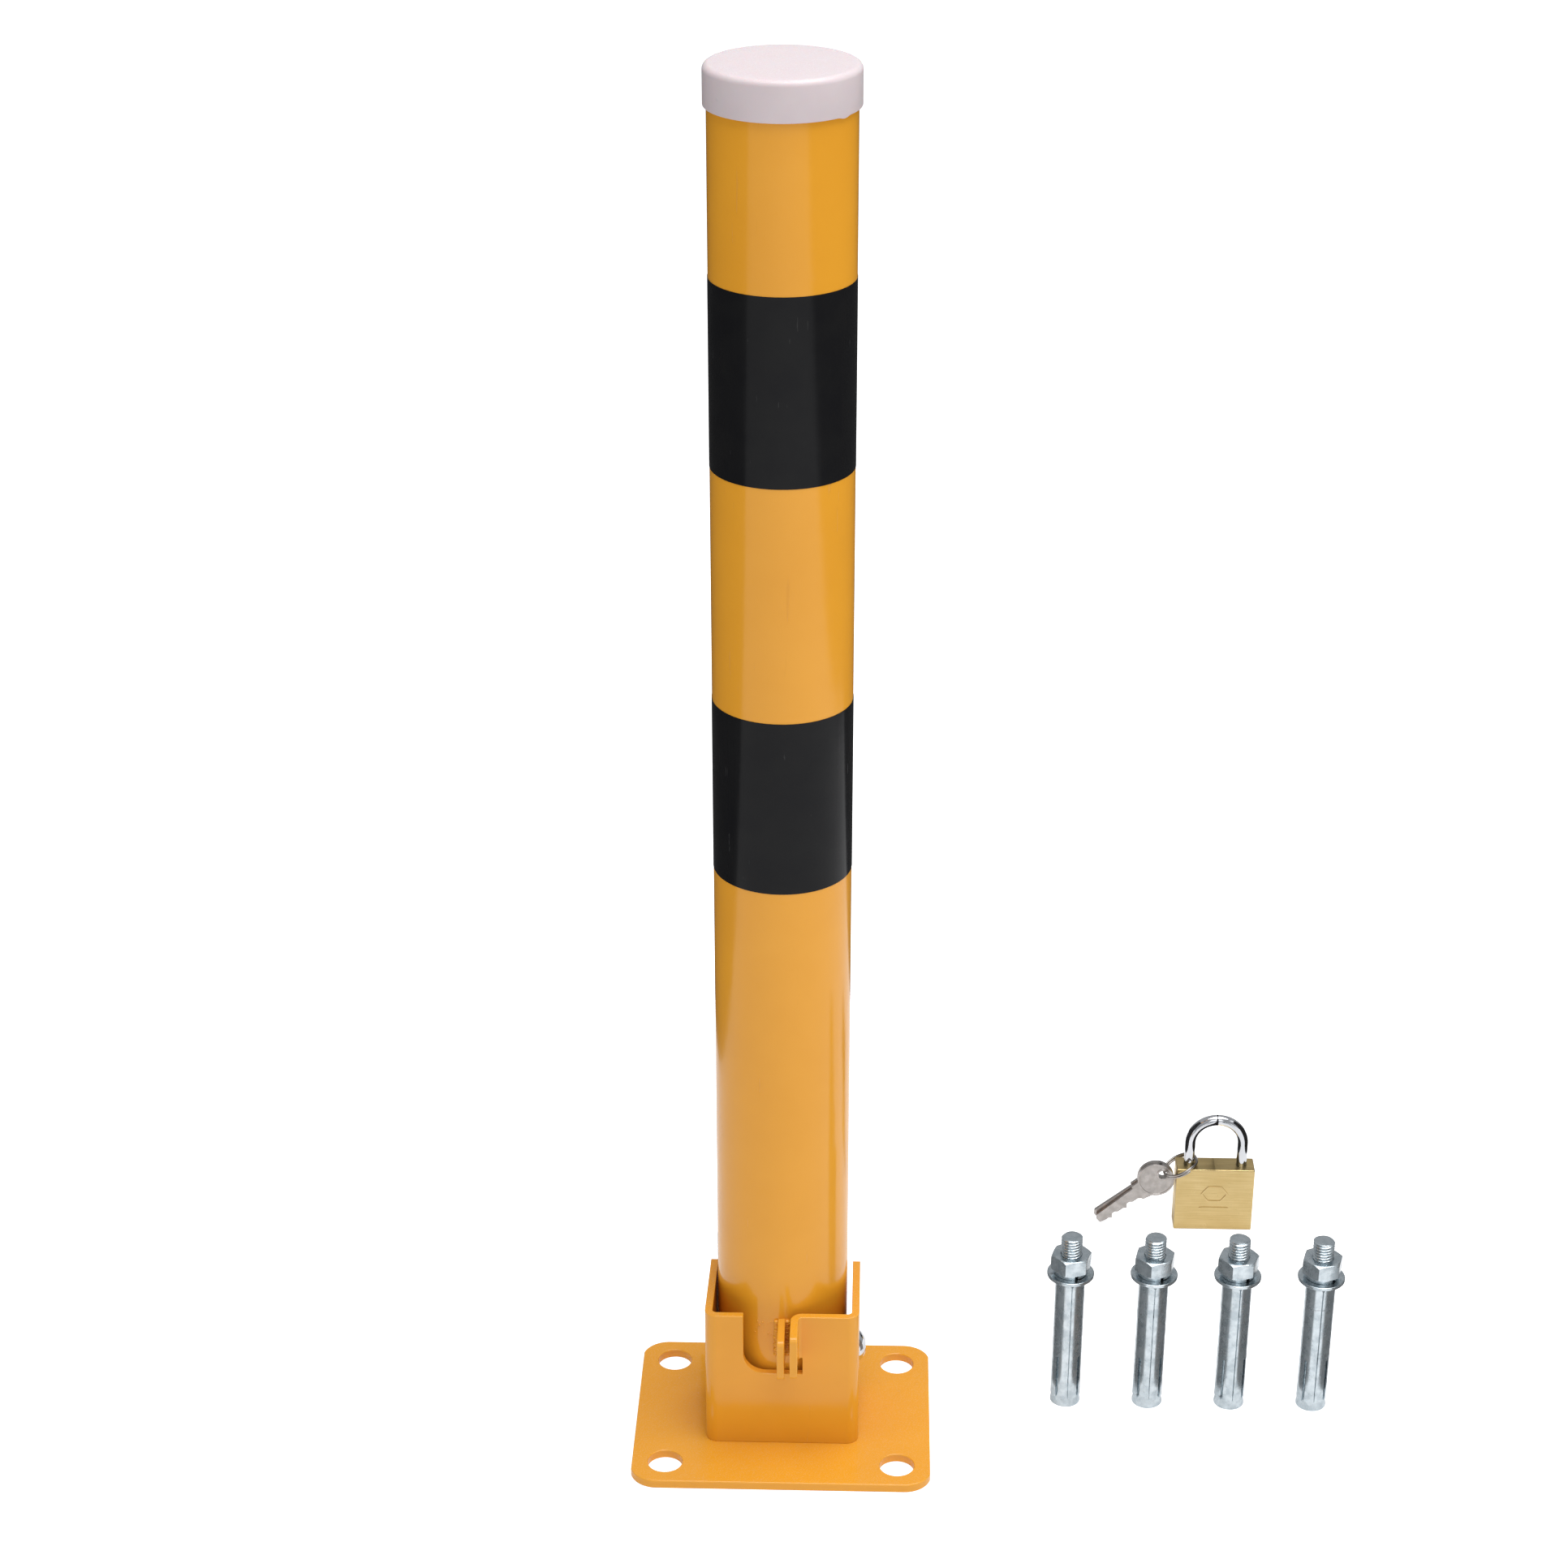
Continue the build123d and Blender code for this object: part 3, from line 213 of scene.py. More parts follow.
def dust_and_sheen_group():
    """Dust that has settled on what faces up. On the white plastic it also lays a painted sheen."""
    sockets = [("Vector", "Vector", None), ("Amount", "Float", 0.2)]
    tree, given, result = new_group("dust_and_sheen", "ShaderNodeTree", sockets, [("Mask", "Float")])
    normal = add(tree, "ShaderNodeNewGeometry").outputs["Normal"]
    facing_up = rescale(tree, add(tree, "ShaderNodeSeparateXYZ", {0: normal}).outputs["Z"], 0.3, 1.0)
    specks = rescale(tree, cloud(tree, given["Vector"], 2500.0, 4.0), 0.5, 0.75)
    settled = maths(tree, "MULTIPLY", facing_up, specks)
    tree.links.new(maths(tree, "MULTIPLY", settled, given["Amount"], clamp=True), result["Mask"])
    return tree


GROUPS = {group.name: group for group in (patches_group(), lines_group(), edges_group(), dust_and_sheen_group())}
print("shader groups:", sorted(GROUPS))

# %% [markdown]
# A finish is one material with one Principled shader. Its pattern is placed by Object coordinates, which
# are metres here, because no piece is moved or scaled. The helper starts a finish and places a group in
# it. Wear, such as a scratch or a bare edge, and a painted highlight or sheen are all the same thing:
# another colour, laid over by a mask.


# %% Helpers for finishes
class Finish:
    """A material in the making: its tree, its shader and its coordinates."""

    def __init__(self, name, **values):
        self.material = bpy.data.materials.new(name)
        self.material.use_nodes = True
        self.tree = self.material.node_tree
        self.shader = self.tree.nodes["Principled BSDF"]
        self.where = add(self.tree, "ShaderNodeTexCoord").outputs["Object"]
        for label, value in spaced(values).items():
            self.shader.inputs[label].default_value = value

    def group(self, name, output, **inputs):
        """One output of a shared group, with its inputs filled in."""
        wanted = {**spaced(inputs), "Vector": self.where}
        return add(self.tree, "ShaderNodeGroup", wanted, node_tree=GROUPS[name]).outputs[output]

    def grain(self, per_metre, detail=2.0):
        """Fine noise for bumps."""
        return cloud(self.tree, self.where, per_metre, detail)

    def laid_over(self, colour, mask, share, other):
        """Lays another colour over a colour, by a share of a mask."""
        return tint(self.tree, maths(self.tree, "MULTIPLY", mask, share), colour, other)

    def feed(self, label, value):
        """Links a node's output to one of the shader's inputs."""
        self.tree.links.new(value, self.shader.inputs[label])

    def bump(self, *layers):
        """Stacks bumps, each a (height, depth in metres) pair."""
        normal = None
        for height, depth in layers:
            inputs = {"Strength": 1.0, "Distance": depth, "Height": height}
            if normal is not None:
                inputs["Normal"] = normal
            normal = add(self.tree, "ShaderNodeBump", inputs).outputs["Normal"]
        self.feed("Normal", normal)


# %% [markdown]
# The post is sprayed with an orange-yellow gloss enamel. Up close, such paint has a faint orange-peel
# ripple. It is thinner along sharp edges, where a painted highlight also brightens it, a little deeper
# where it pooled, and it carries fine scratches. The gloss comes from the shader and the studio lights,
# so apart from the painted edge highlight only small changes of colour and roughness are painted in.

# %% Enamel
PAINT = (0.83, 0.367, 0.026, 1)
POOLED_PAINT = (0.80, 0.345, 0.021, 1)
# The lighter colour along the edges is thinner paint with a painted highlight.
THIN_PAINT_AND_EDGE_HIGHLIGHT = (0.98, 0.52, 0.060, 1)
SCRATCHED_PAINT = (0.45, 0.17, 0.01, 1)
DUST_ON_PAINT = (0.82, 0.62, 0.38, 1)


def enamel():
    made = Finish("gloss_enamel", IOR=1.5)
    pooled = made.group("patches", "Mask", Per_Metre=28.0, Contrast=0.2)
    edge = made.group("edges", "Mask", Radius=0.5 * MM, Breakup=0.5)
    scratch = made.group("lines", "Scratches", Stretch=(260.0, 260.0, 22.0), Rarity=0.69)
    dust_and_sheen = made.group("dust_and_sheen", "Mask", Amount=0.25)
    colour = tint(made.tree, pooled, PAINT, POOLED_PAINT)
    # Along the edges, thinner paint and a painted highlight lighten the colour.
    colour = made.laid_over(colour, edge, 0.55, THIN_PAINT_AND_EDGE_HIGHLIGHT)
    colour = made.laid_over(colour, scratch, 0.12, SCRATCHED_PAINT)
    made.feed("Base Color", tint(made.tree, dust_and_sheen, colour, DUST_ON_PAINT))
    rough = rescale(made.tree, pooled, 0.0, 1.0, 0.13, 0.18)
    scratch_rough = maths(made.tree, "MULTIPLY", scratch, 0.15)
    made.feed("Roughness", maths(made.tree, "ADD", rough, scratch_rough))
    made.bump((made.grain(45.0), 0.10 * MM), (made.grain(420.0), 0.012 * MM), (scratch, 0.004 * MM))
    return made.material


# %% [markdown]
# The two dark stripes are gloss black film wrapped round the tube. Film is smoother than paint, and has
# faint streaks along the tube from being smoothed down by hand, with a few rubbed places.

# %% Black film
FILM = (0.0095, 0.0095, 0.0105, 1)
RUBBED_FILM = (0.0115, 0.0115, 0.0120, 1)
SCUFFED_FILM = (0.06, 0.06, 0.06, 1)


def black_film():
    made = Finish("gloss_black_film", IOR=1.45, Specular_IOR_Level=0.16)
    rubbed = made.group("patches", "Mask", Per_Metre=70.0, Contrast=0.15)
    streak = made.group("lines", "Lines", Stretch=(900.0, 900.0, 30.0), Rarity=0.6)
    scuff = made.group("lines", "Scratches", Stretch=(500.0, 500.0, 60.0), Rarity=0.70)
    colour = tint(made.tree, rubbed, FILM, RUBBED_FILM)
    made.feed("Base Color", made.laid_over(colour, scuff, 0.35, SCUFFED_FILM))
    rough = rescale(made.tree, streak, 0.0, 1.0, 0.12, 0.19)
    scuff_rough = maths(made.tree, "MULTIPLY", scuff, 0.25)
    made.feed("Roughness", maths(made.tree, "ADD", rough, scuff_rough))
    made.bump((made.grain(60.0), 0.08 * MM), (streak, 0.003 * MM))
    return made.material


# %% [markdown]
# The cap is a moulded white plastic. Plastic lets a little light in before it comes back, which softens
# its shade, and the moulding leaves a faint cloudiness, fine pores and a satin surface. Its upward
# faces carry lighter specks of dust and a painted sheen.

# %% White plastic
PLASTIC = (0.68, 0.59, 0.605, 1)
CLOUDY_PLASTIC = (0.64, 0.55, 0.565, 1)
SCUFFED_PLASTIC = (0.50, 0.46, 0.48, 1)
# The lighter bluish white on upward faces is dust and a painted sheen.
DUST_AND_SHEEN_ON_PLASTIC = (0.80, 0.78, 0.82, 1)


def white_plastic():
    made = Finish("moulded_white_plastic", IOR=1.48, Subsurface_Weight=0.15, Subsurface_Scale=0.004)
    cloudy = made.group("patches", "Mask", Per_Metre=45.0, Contrast=0.2)
    # Upward faces get lighter specks: dust and a painted sheen.
    dust_and_sheen = made.group("dust_and_sheen", "Mask", Amount=0.70)
    scuff = made.group("lines", "Scratches", Stretch=(180.0, 180.0, 300.0), Rarity=0.70)
    colour = tint(made.tree, cloudy, PLASTIC, CLOUDY_PLASTIC)
    colour = made.laid_over(colour, scuff, 0.25, SCUFFED_PLASTIC)
    made.feed("Base Color", tint(made.tree, dust_and_sheen, colour, DUST_AND_SHEEN_ON_PLASTIC))
    made.feed("Roughness", rescale(made.tree, cloudy, 0.0, 1.0, 0.30, 0.42))
    made.bump((made.grain(120.0), 0.05 * MM), (made.grain(1500.0, 4.0), 0.006 * MM))
    return made.material


# %% [markdown]
# Metals get their look from what they reflect, so their base colour is the colour of the metal, and
# roughness does the rest. One function makes the plain plated ones: chrome, nickel, zinc and oiled spring
# steel. They differ in the colours of their patches, in how rough those are and in the direction of their
# tool lines.

# %% Plated metals
SCRATCHED_METAL = (0.25, 0.26, 0.27, 1)
ACROSS = 0.35


def plated(name, bright, dull, rough, patch, stretch, line_depth):
    made = Finish(name, Metallic=1.0)
    mottled = made.group("patches", "Mask", Per_Metre=patch, Contrast=0.14)
    lines = made.group("lines", "Lines", Stretch=stretch, Rarity=0.6)
    across = tuple(side * ACROSS for side in reversed(stretch))
    scratch = made.group("lines", "Scratches", Stretch=across, Rarity=0.68)
    colour = tint(made.tree, mottled, (*bright, 1), (*dull, 1))
    made.feed("Base Color", made.laid_over(colour, scratch, 0.4, SCRATCHED_METAL))
    uneven = maths(made.tree, "MULTIPLY", maths(made.tree, "ADD", mottled, lines), 0.5)
    spread = rescale(made.tree, uneven, 0.0, 1.0, *rough)
    scratch_rough = maths(made.tree, "MULTIPLY", scratch, 0.2)
    made.feed("Roughness", maths(made.tree, "ADD", spread, scratch_rough, clamp=True))
    made.bump((made.grain(250.0), 0.02 * MM), (lines, line_depth))
    return made.material


# %% [markdown]
# The padlock's body is solid brass, brushed along its width on a belt. The brushing is a stack of long
# thin lines, which spread a reflection up and down. It also carries small dings and dull marks from
# handling.

# %% Brushed brass
DARK_BRASS = (0.58, 0.430, 0.190, 1)
BRIGHT_BRASS = (0.72, 0.56, 0.280, 1)
HANDLED_BRASS = (0.56, 0.40, 0.155, 1)
SCRATCHED_BRASS = (0.42, 0.29, 0.10, 1)
DINGED_BRASS = (0.30, 0.21, 0.09, 1)
EDGE_BRASS = (0.88, 0.72, 0.40, 1)


def brushed_brass():
    made = Finish("brushed_brass", Metallic=1.0, Anisotropic=0.35)
    brushed = made.group("lines", "Lines", Stretch=(55.0, 2600.0, 2600.0), Rarity=0.6)
    coarse = made.group("lines", "Scratches", Stretch=(90.0, 1500.0, 1500.0), Rarity=0.66)
    handled = made.group("patches", "Mask", Per_Metre=110.0, Contrast=0.2)
    edge = made.group("edges", "Mask", Radius=0.4 * MM, Breakup=0.3)
    pits = add(made.tree, "ShaderNodeTexVoronoi", {"Vector": made.where, "Scale": 420.0})
    ding = rescale(made.tree, pits.outputs["Distance"], 0.09, 0.04)
    colour = tint(made.tree, brushed, DARK_BRASS, BRIGHT_BRASS)
    colour = made.laid_over(colour, handled, 0.35, HANDLED_BRASS)
    colour = made.laid_over(colour, coarse, 0.4, SCRATCHED_BRASS)
    colour = made.laid_over(colour, ding, 0.5, DINGED_BRASS)
    made.feed("Base Color", made.laid_over(colour, edge, 0.5, EDGE_BRASS))
    uneven = maths(made.tree, "ADD", brushed, handled)
    made.feed("Roughness", rescale(made.tree, uneven, 0.0, 2.0, 0.26, 0.44))
    made.bump((brushed, 0.010 * MM), (coarse, 0.006 * MM), (ding, 0.02 * MM))
    return made.material


# %% [markdown]
# Each CAD node names a material slot in the part's record, and each slot gets one finish. Chrome is
# nearly a mirror, zinc has bright and dull crystals, nickel is a little warm, and spring steel is dark
# with oil. The colours could be painted on each piece by hand, but one finish per slot keeps all pieces
# of a metal alike.

# %% Make the finishes and give them to the frame's nodes
CHROME = dict(bright=(0.74, 0.75, 0.78), dull=(0.68, 0.70, 0.73), rough=(0.05, 0.12), patch=90.0)
ZINC = dict(bright=(0.68, 0.75, 0.79), dull=(0.50, 0.57, 0.61), rough=(0.16, 0.34), patch=260.0)
NICKEL = dict(bright=(0.50, 0.47, 0.45), dull=(0.40, 0.375, 0.355), rough=(0.24, 0.40), patch=300.0)
SPRING = dict(bright=(0.42, 0.42, 0.42), dull=(0.30, 0.30, 0.30), rough=(0.25, 0.45), patch=400.0)
FINISHES = {
    "yellow_paint": enamel(),
    "black_tape": black_film(),
    "white_plastic": white_plastic(),
    "brass": brushed_brass(),
    "bright_chrome": plated("chrome_plate", **CHROME, stretch=(400.0, 400.0, 40.0), line_depth=0.001 * MM),
    "zinc": plated("zinc_plate", **ZINC, stretch=(700.0, 700.0, 60.0), line_depth=0.006 * MM),
    "nickel": plated("nickel_plate", **NICKEL, stretch=(300.0, 900.0, 300.0), line_depth=0.006 * MM),
    "spring_steel": plated("oiled_steel", **SPRING, stretch=(600.0, 600.0, 600.0), line_depth=0.004 * MM),
}
SLOT_OF = {part["node"]: part["material_slot"] for part in frame["record"]["subparts"]}
for node_name, node_object in frame["nodes"].items():
    node_object.data.materials.clear()
    node_object.data.materials.append(FINISHES[SLOT_OF[node_name]])
print("finishes:", sorted(FINISHES))

# %% [markdown]
# The studio has a white floor and a soft white sky. The floor and sky are brighter to the camera than to
# the post: that keeps the ground white without washing out the colours. A Light Path node tells the
# camera's rays from the others. A brighter sky alone would be simpler, but it would flatten the post.

# %% Studio floor and sky
FLOOR_HALF = 14.0
FLOOR_COLOUR = (0.96, 0.96, 0.965)
FLOOR_GLOW = 0.7
PAPER_ROUGHNESS = 0.6
SKY_COLOUR = (0.97, 0.98, 1.0, 1)
SKY = 0.40
SKY_GLOW = 0.75


def stage_piece(name, corners, material):
    """One flat four-sided stage piece."""
    mesh = bpy.data.meshes.new(name)
    mesh.from_pydata([tuple(corner) for corner in corners], [], [(0, 1, 2, 3)])
    mesh.materials.append(material)
    made = bpy.data.objects.new(name, mesh)
    bpy.context.scene.collection.objects.link(made)
    return made


def plain(name, colour):
    """A dull paper or card of one colour."""
    material = bpy.data.materials.new(name)
    material.use_nodes = True
    shader = material.node_tree.nodes["Principled BSDF"]
    shader.inputs["Base Color"].default_value = (*colour, 1)
    shader.inputs["Roughness"].default_value = PAPER_ROUGHNESS
    shader.inputs["Specular IOR Level"].default_value = 0.0
    return material


def white_paper():
    """Floor paper whose extra glow is seen by the camera alone, so that it doesn't light the post."""
    material = plain("white_floor", FLOOR_COLOUR)
    tree = material.node_tree
    shader = tree.nodes["Principled BSDF"]
    shader.inputs["Emission Color"].default_value = (*FLOOR_COLOUR, 1)
    seen = add(tree, "ShaderNodeLightPath").outputs["Is Camera Ray"]
    tree.links.new(maths(tree, "MULTIPLY", seen, FLOOR_GLOW), shader.inputs["Emission Strength"])
    return material


def white_sky():
    """A soft sky, brighter to the camera."""
    world = bpy.data.worlds.new("studio_sky")
    world.use_nodes = True
    tree = world.node_tree
    background = tree.nodes["Background"]
    background.inputs["Color"].default_value = SKY_COLOUR
    seen = add(tree, "ShaderNodeLightPath").outputs["Is Camera Ray"]
    strength = maths(tree, "ADD", SKY, maths(tree, "MULTIPLY", seen, SKY_GLOW))
    tree.links.new(strength, background.inputs["Strength"])
    return world


def level(low_x, high_x, low_y, high_y, z):
    """The corners of a level rectangle."""
    return [(low_x, low_y, z), (high_x, low_y, z), (high_x, high_y, z), (low_x, high_y, z)]


stage_piece("floor", level(-FLOOR_HALF, FLOOR_HALF, -FLOOR_HALF, FLOOR_HALF, 0), white_paper())
bpy.context.scene.world = white_sky()
print("floor is", 2 * FLOOR_HALF, "m wide")

# %% [markdown]
# Three soft boxes light the post: a large one above, a weak one in front and a weaker one to the right,
# which brightens that side of the tube. A gloss surface shows the shape of its lamps, so they are large
# rectangles, not points.


# %% Soft boxes
def soft_box(name, place, aim, width, height, power):
    """A rectangular lamp that points at a place. It shows in reflections and not to the camera."""
    lamp = bpy.data.lights.new(name, "AREA")
    lamp.shape = "RECTANGLE"
    lamp.size = width
    lamp.size_y = height
    lamp.energy = power
    made = bpy.data.objects.new(name, lamp)
    bpy.context.scene.collection.objects.link(made)
    made.location = place
    made.rotation_euler = (Vector(aim) - Vector(place)).to_track_quat("-Z", "Y").to_euler()
    made.visible_camera = False


soft_box("top_box", place=(0.42, -0.25, 2.6), aim=(0.10, 0.05, 0), width=2.2, height=2.0, power=60.0)
soft_box("front_box", place=(0.3, -2.6, 1.5), aim=(0.05, 0, 0.3), width=1.4, height=1.6, power=7.0)
soft_box("right_box", place=(2.2, -0.6, 1.2), aim=(0.1, 0, 0.3), width=1.2, height=1.6, power=4.5)
print("soft boxes:", len(bpy.data.lights))

# %% [markdown]
# A round gloss tube mirrors the floor on both sides of it, so the paper ends in a dark floor on the left
# and the right, which draws a dark stripe down each side of the post. Small dark cards stand between the
# shiny pieces, as on a table where small metal ware is lit. They are seen only in reflections and throw
# no shade.

# %% Flags and cards
FLAG_GREY = 0.05
FLAG_REACH = 4.0
FLAG_SIDE = 1.1 * FLAG_REACH
FLAG_HEIGHT = 1 * MM
PAPER_BACK = 0.40
PAPER_EDGES = {"left_flag": (-4.20, -0.11, -FLAG_SIDE), "right_flag": (2.37, 0.74, FLAG_SIDE)}
GAP_GREY = 0.04
GAP_BEHIND = 22 * MM
GAP_LEFT, GAP_RIGHT = 6 * MM, 14 * MM
GAP_FOOT = 4 * MM
ANCHOR_GREY = 0.34
ANCHOR_BESIDE, ANCHOR_BEFORE, ANCHOR_SHORT = 6 * MM, 12 * MM, 2 * MM
ANCHOR_FOOT, ANCHOR_TOP = 2 * MM, 95 * MM
SHACKLE_GREY = 0.04
SHACKLE_BESIDE, SHACKLE_BEFORE, SHACKLE_BEHIND = 10 * MM, 16 * MM, 6 * MM
SHACKLE_BELOW, SHACKLE_ABOVE = 28 * MM, 12 * MM


def flag(name, corners, grey):
    """A dark card, seen only in reflections."""
    made = stage_piece(name, corners, plain(name, (grey, grey, grey)))
    made.visible_camera = False
    made.visible_diffuse = False
    made.visible_shadow = False
    made.visible_transmission = False


def standing_card(name, x, first, last, low, high, grey):
    """A small upright card beside a shiny piece."""
    flag(name, [(x, first, low), (x, last, low), (x, last, high), (x, first, high)], grey)


for name, (front_x, back_x, side_x) in PAPER_EDGES.items():
    edge = [(front_x, -FLAG_REACH), (back_x, PAPER_BACK), (side_x, PAPER_BACK), (side_x, -FLAG_REACH)]
    flag(name, [(x, y, FLAG_HEIGHT) for x, y in edge], FLAG_GREY)
flag("back_flag", level(-FLAG_REACH, FLAG_REACH, PAPER_BACK, FLAG_REACH, FLAG_HEIGHT), FLAG_GREY)

socket_low, socket_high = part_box("socket")
gap_y = socket_high.y + GAP_BEHIND
gap_left, gap_right = socket_low.x - GAP_LEFT, socket_low.x + GAP_RIGHT
gap_foot = [(gap_left, gap_y, GAP_FOOT), (gap_right, gap_y, GAP_FOOT)]
gap_top = [(gap_right, gap_y, socket_high.z), (gap_left, gap_y, socket_high.z)]
flag("gap_card", gap_foot + gap_top, GAP_GREY)

for anchor in ANCHORS:
    low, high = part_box(f"anchor_{anchor}_flat_washer")
    front, back = low.y - ANCHOR_BEFORE, high.y - ANCHOR_SHORT
    for side, x in (("left", low.x - ANCHOR_BESIDE), ("right", high.x + ANCHOR_BESIDE)):
        standing_card(f"anchor_{anchor}_{side}_card", x, front, back, ANCHOR_FOOT, ANCHOR_TOP, ANCHOR_GREY)

low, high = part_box("shackle")
front, back = low.y - SHACKLE_BEFORE, high.y + SHACKLE_BEHIND
foot, top = high.z - SHACKLE_BELOW, high.z + SHACKLE_ABOVE
card_places = {"left": low.x - SHACKLE_BESIDE, "middle": (low.x + high.x) / 2}
card_places["right"] = high.x + SHACKLE_BESIDE
for side, x in card_places.items():
    standing_card(f"shackle_{side}_card", x, front, back, foot, top, SHACKLE_GREY)
print("cards beside the shackle, heights in mm:", round(foot / MM), "to", round(top / MM))

# %% [markdown]
# A CAD edge is perfectly sharp, but the edge of sheet steel is rounded by the die that cut it and by the
# paint over it, and that round edge is what catches the light. A copy of the CAD mesh is merged, its flat
# triangles are dissolved into whole faces, and a Bevel modifier rounds every corner sharper than a set
# angle. Modelling each round in CAD would be slow, and the bevel gives every piece its own width in one
# loop.

# %% Round the edges of sheet, plate and turned pieces
MERGE = 0.002 * MM
FLAT = math.radians(0.6)
CREASE = math.radians(32)
BEVEL_SEGMENTS = 2


def mesh_of(name, work):
    """Ends the work on some faces and gives them as a mesh."""
    mesh = bpy.data.meshes.new(name)
    work.to_mesh(mesh)
    work.free()
    return mesh


def as_piece(name, mesh, body, slot, *nodes):
    """Makes an object of a mesh, which rides on a body and stands for CAD nodes."""
    piece = bpy.data.objects.new(name, mesh)
    bpy.context.scene.collection.objects.link(piece)
    if not mesh.materials:
        mesh.materials.append(FINISHES[slot])
    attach(piece, body)
    if nodes:
        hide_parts(*nodes)
    return piece


def body_of(node):
    """The moving body that a node belongs to."""
    return next(name for name, nodes in frame["record"]["behaviour"]["bodies"].items() if node in nodes)


def softened(node, width):
    """A copy of a CAD node with rounded edges, in its place."""
    work = bmesh.new()
    work.from_mesh(frame["nodes"][node].data)
    bmesh.ops.remove_doubles(work, verts=work.verts, dist=MERGE)
    whole = {"verts": work.verts, "edges": work.edges}
    bmesh.ops.dissolve_limit(work, angle_limit=FLAT, use_dissolve_boundaries=False, **whole)
    mesh = mesh_of(node + "_finished", work)
    mesh.shade_smooth()
    mesh.set_sharp_from_angle(angle=CREASE)
    piece = as_piece(node + "_finished", mesh, body_of(node), SLOT_OF[node], node)
    bevel = piece.modifiers.new("rounded_edges", "BEVEL")
    bevel.limit_method = "ANGLE"
    bevel.angle_limit = CREASE
    bevel.width = width
    bevel.segments = BEVEL_SEGMENTS
    bevel.use_clamp_overlap = True
    bevel.harden_normals = False
    return piece


TOE_IN = 0.9 * MM
TOE_START = 24 * MM
WALL_REACH = 5.5 * MM


def toed_in(piece):
    """Springs the socket's left wall inwards towards its back edge, as a hand-folded sheet does."""
    front, inside = socket_low.y + TOE_START, socket_low.x + WALL_REACH
    for vertex in piece.data.vertices:
        if vertex.co.x < inside and vertex.co.y > front:
            vertex.co.x += TOE_IN * (vertex.co.y - front) / (socket_high.y - front)


ROUNDED = {"base_plate": 0.45, "socket": 0.45, "post_ear": 0.5, "padlock_body": 0.35}
ROUNDED |= {"key_1": 0.12, "key_2": 0.12}
for anchor in ANCHORS:
    ROUNDED[f"anchor_{anchor}_nut"] = 0.25
    ROUNDED[f"anchor_{anchor}_flat_washer"] = 0.3
for node_name, radius in ROUNDED.items():
    finished = softened(node_name, radius * MM)
    if node_name == "socket":
        toed_in(finished)
print("rounded:", len(ROUNDED), "pieces")

# %% [markdown]
# The pieces that repeat or follow a path are grown with Geometry Nodes. A small helper makes each node
# group, gives it a Material input, and later bakes it to a plain mesh, so that what is exported is what
# is seen. The inputs are in metres and turns, and can be changed on the modifier before the bake.


# %% Helpers for geometry trees
def new_geometry(name, inputs):
    """A geometry group with the named inputs and a material."""
    sockets = [*inputs, ("Material", "Material", None)]
    return new_group(name, "GeometryNodeTree", sockets, [("Geometry", "Geometry")])


def close_tree(tree, given, result, geometry):
    """Realizes the instances, gives them the material, and ends the tree."""
    real = add(tree, "GeometryNodeRealizeInstances", {"Geometry": geometry}).outputs[0]
    smooth = add(tree, "GeometryNodeSetShadeSmooth", {"Geometry": real}).outputs[0]
    dressed = add(tree, "GeometryNodeSetMaterial", {"Geometry": smooth, "Material": given["Material"]})
    tree.links.new(dressed.outputs[0], result["Geometry"])
    return tree


def grown(name, tree, slot, start=None, **values):
    """Runs a geometry group once on a start mesh and gives the mesh it makes."""
    host = bpy.data.objects.new(name, start or bpy.data.meshes.new(name))
    bpy.context.scene.collection.objects.link(host)
    grower = host.modifiers.new("grow", "NODES")
    grower.node_group = tree
    wanted = {**spaced(values), "Material": FINISHES[slot]}
    for item in tree.interface.items_tree:
        if item.in_out == "INPUT" and item.name in wanted:
            grower[item.identifier] = wanted[item.name]
    bpy.context.view_layer.update()
    mesh = bpy.data.meshes.new_from_object(host.evaluated_get(bpy.context.evaluated_depsgraph_get()))
    bpy.data.objects.remove(host)
    mesh.name = name
    mesh.materials.clear()
    mesh.materials.append(FINISHES[slot])
    mesh.polygons.foreach_set("material_index", [0] * len(mesh.polygons))
    return mesh


def joined(name, meshes):
    """Several meshes as one."""
    work = bmesh.new()
    for mesh in meshes:
        work.from_mesh(mesh)
    whole = mesh_of(name, work)
    whole.materials.append(meshes[0].materials[0])
    return whole


def moved(mesh, place, turn):
    """Turns a mesh about the origin and carries it to its place."""
    mesh.transform(Matrix.Translation(place) @ turn)
    return mesh


THREAD_CREASE = math.radians(40)


def creased(mesh):
    """Keeps a mesh's hard edges hard in smooth shading."""
    mesh.set_sharp_from_angle(angle=THREAD_CREASE)
    return mesh


# %% [markdown]
# A weld bead is a row of frozen puddles. Each puddle laps over the last, and no two are the same size,
# because the hand that moved the torch was not quite steady. One group lays a row of squashed balls, a
# little uneven in size and place, and serves both the ear's weld and the three beads inside the socket.

# %% Weld beads
PUDDLE_SEGMENTS, PUDDLE_RINGS = 18, 10


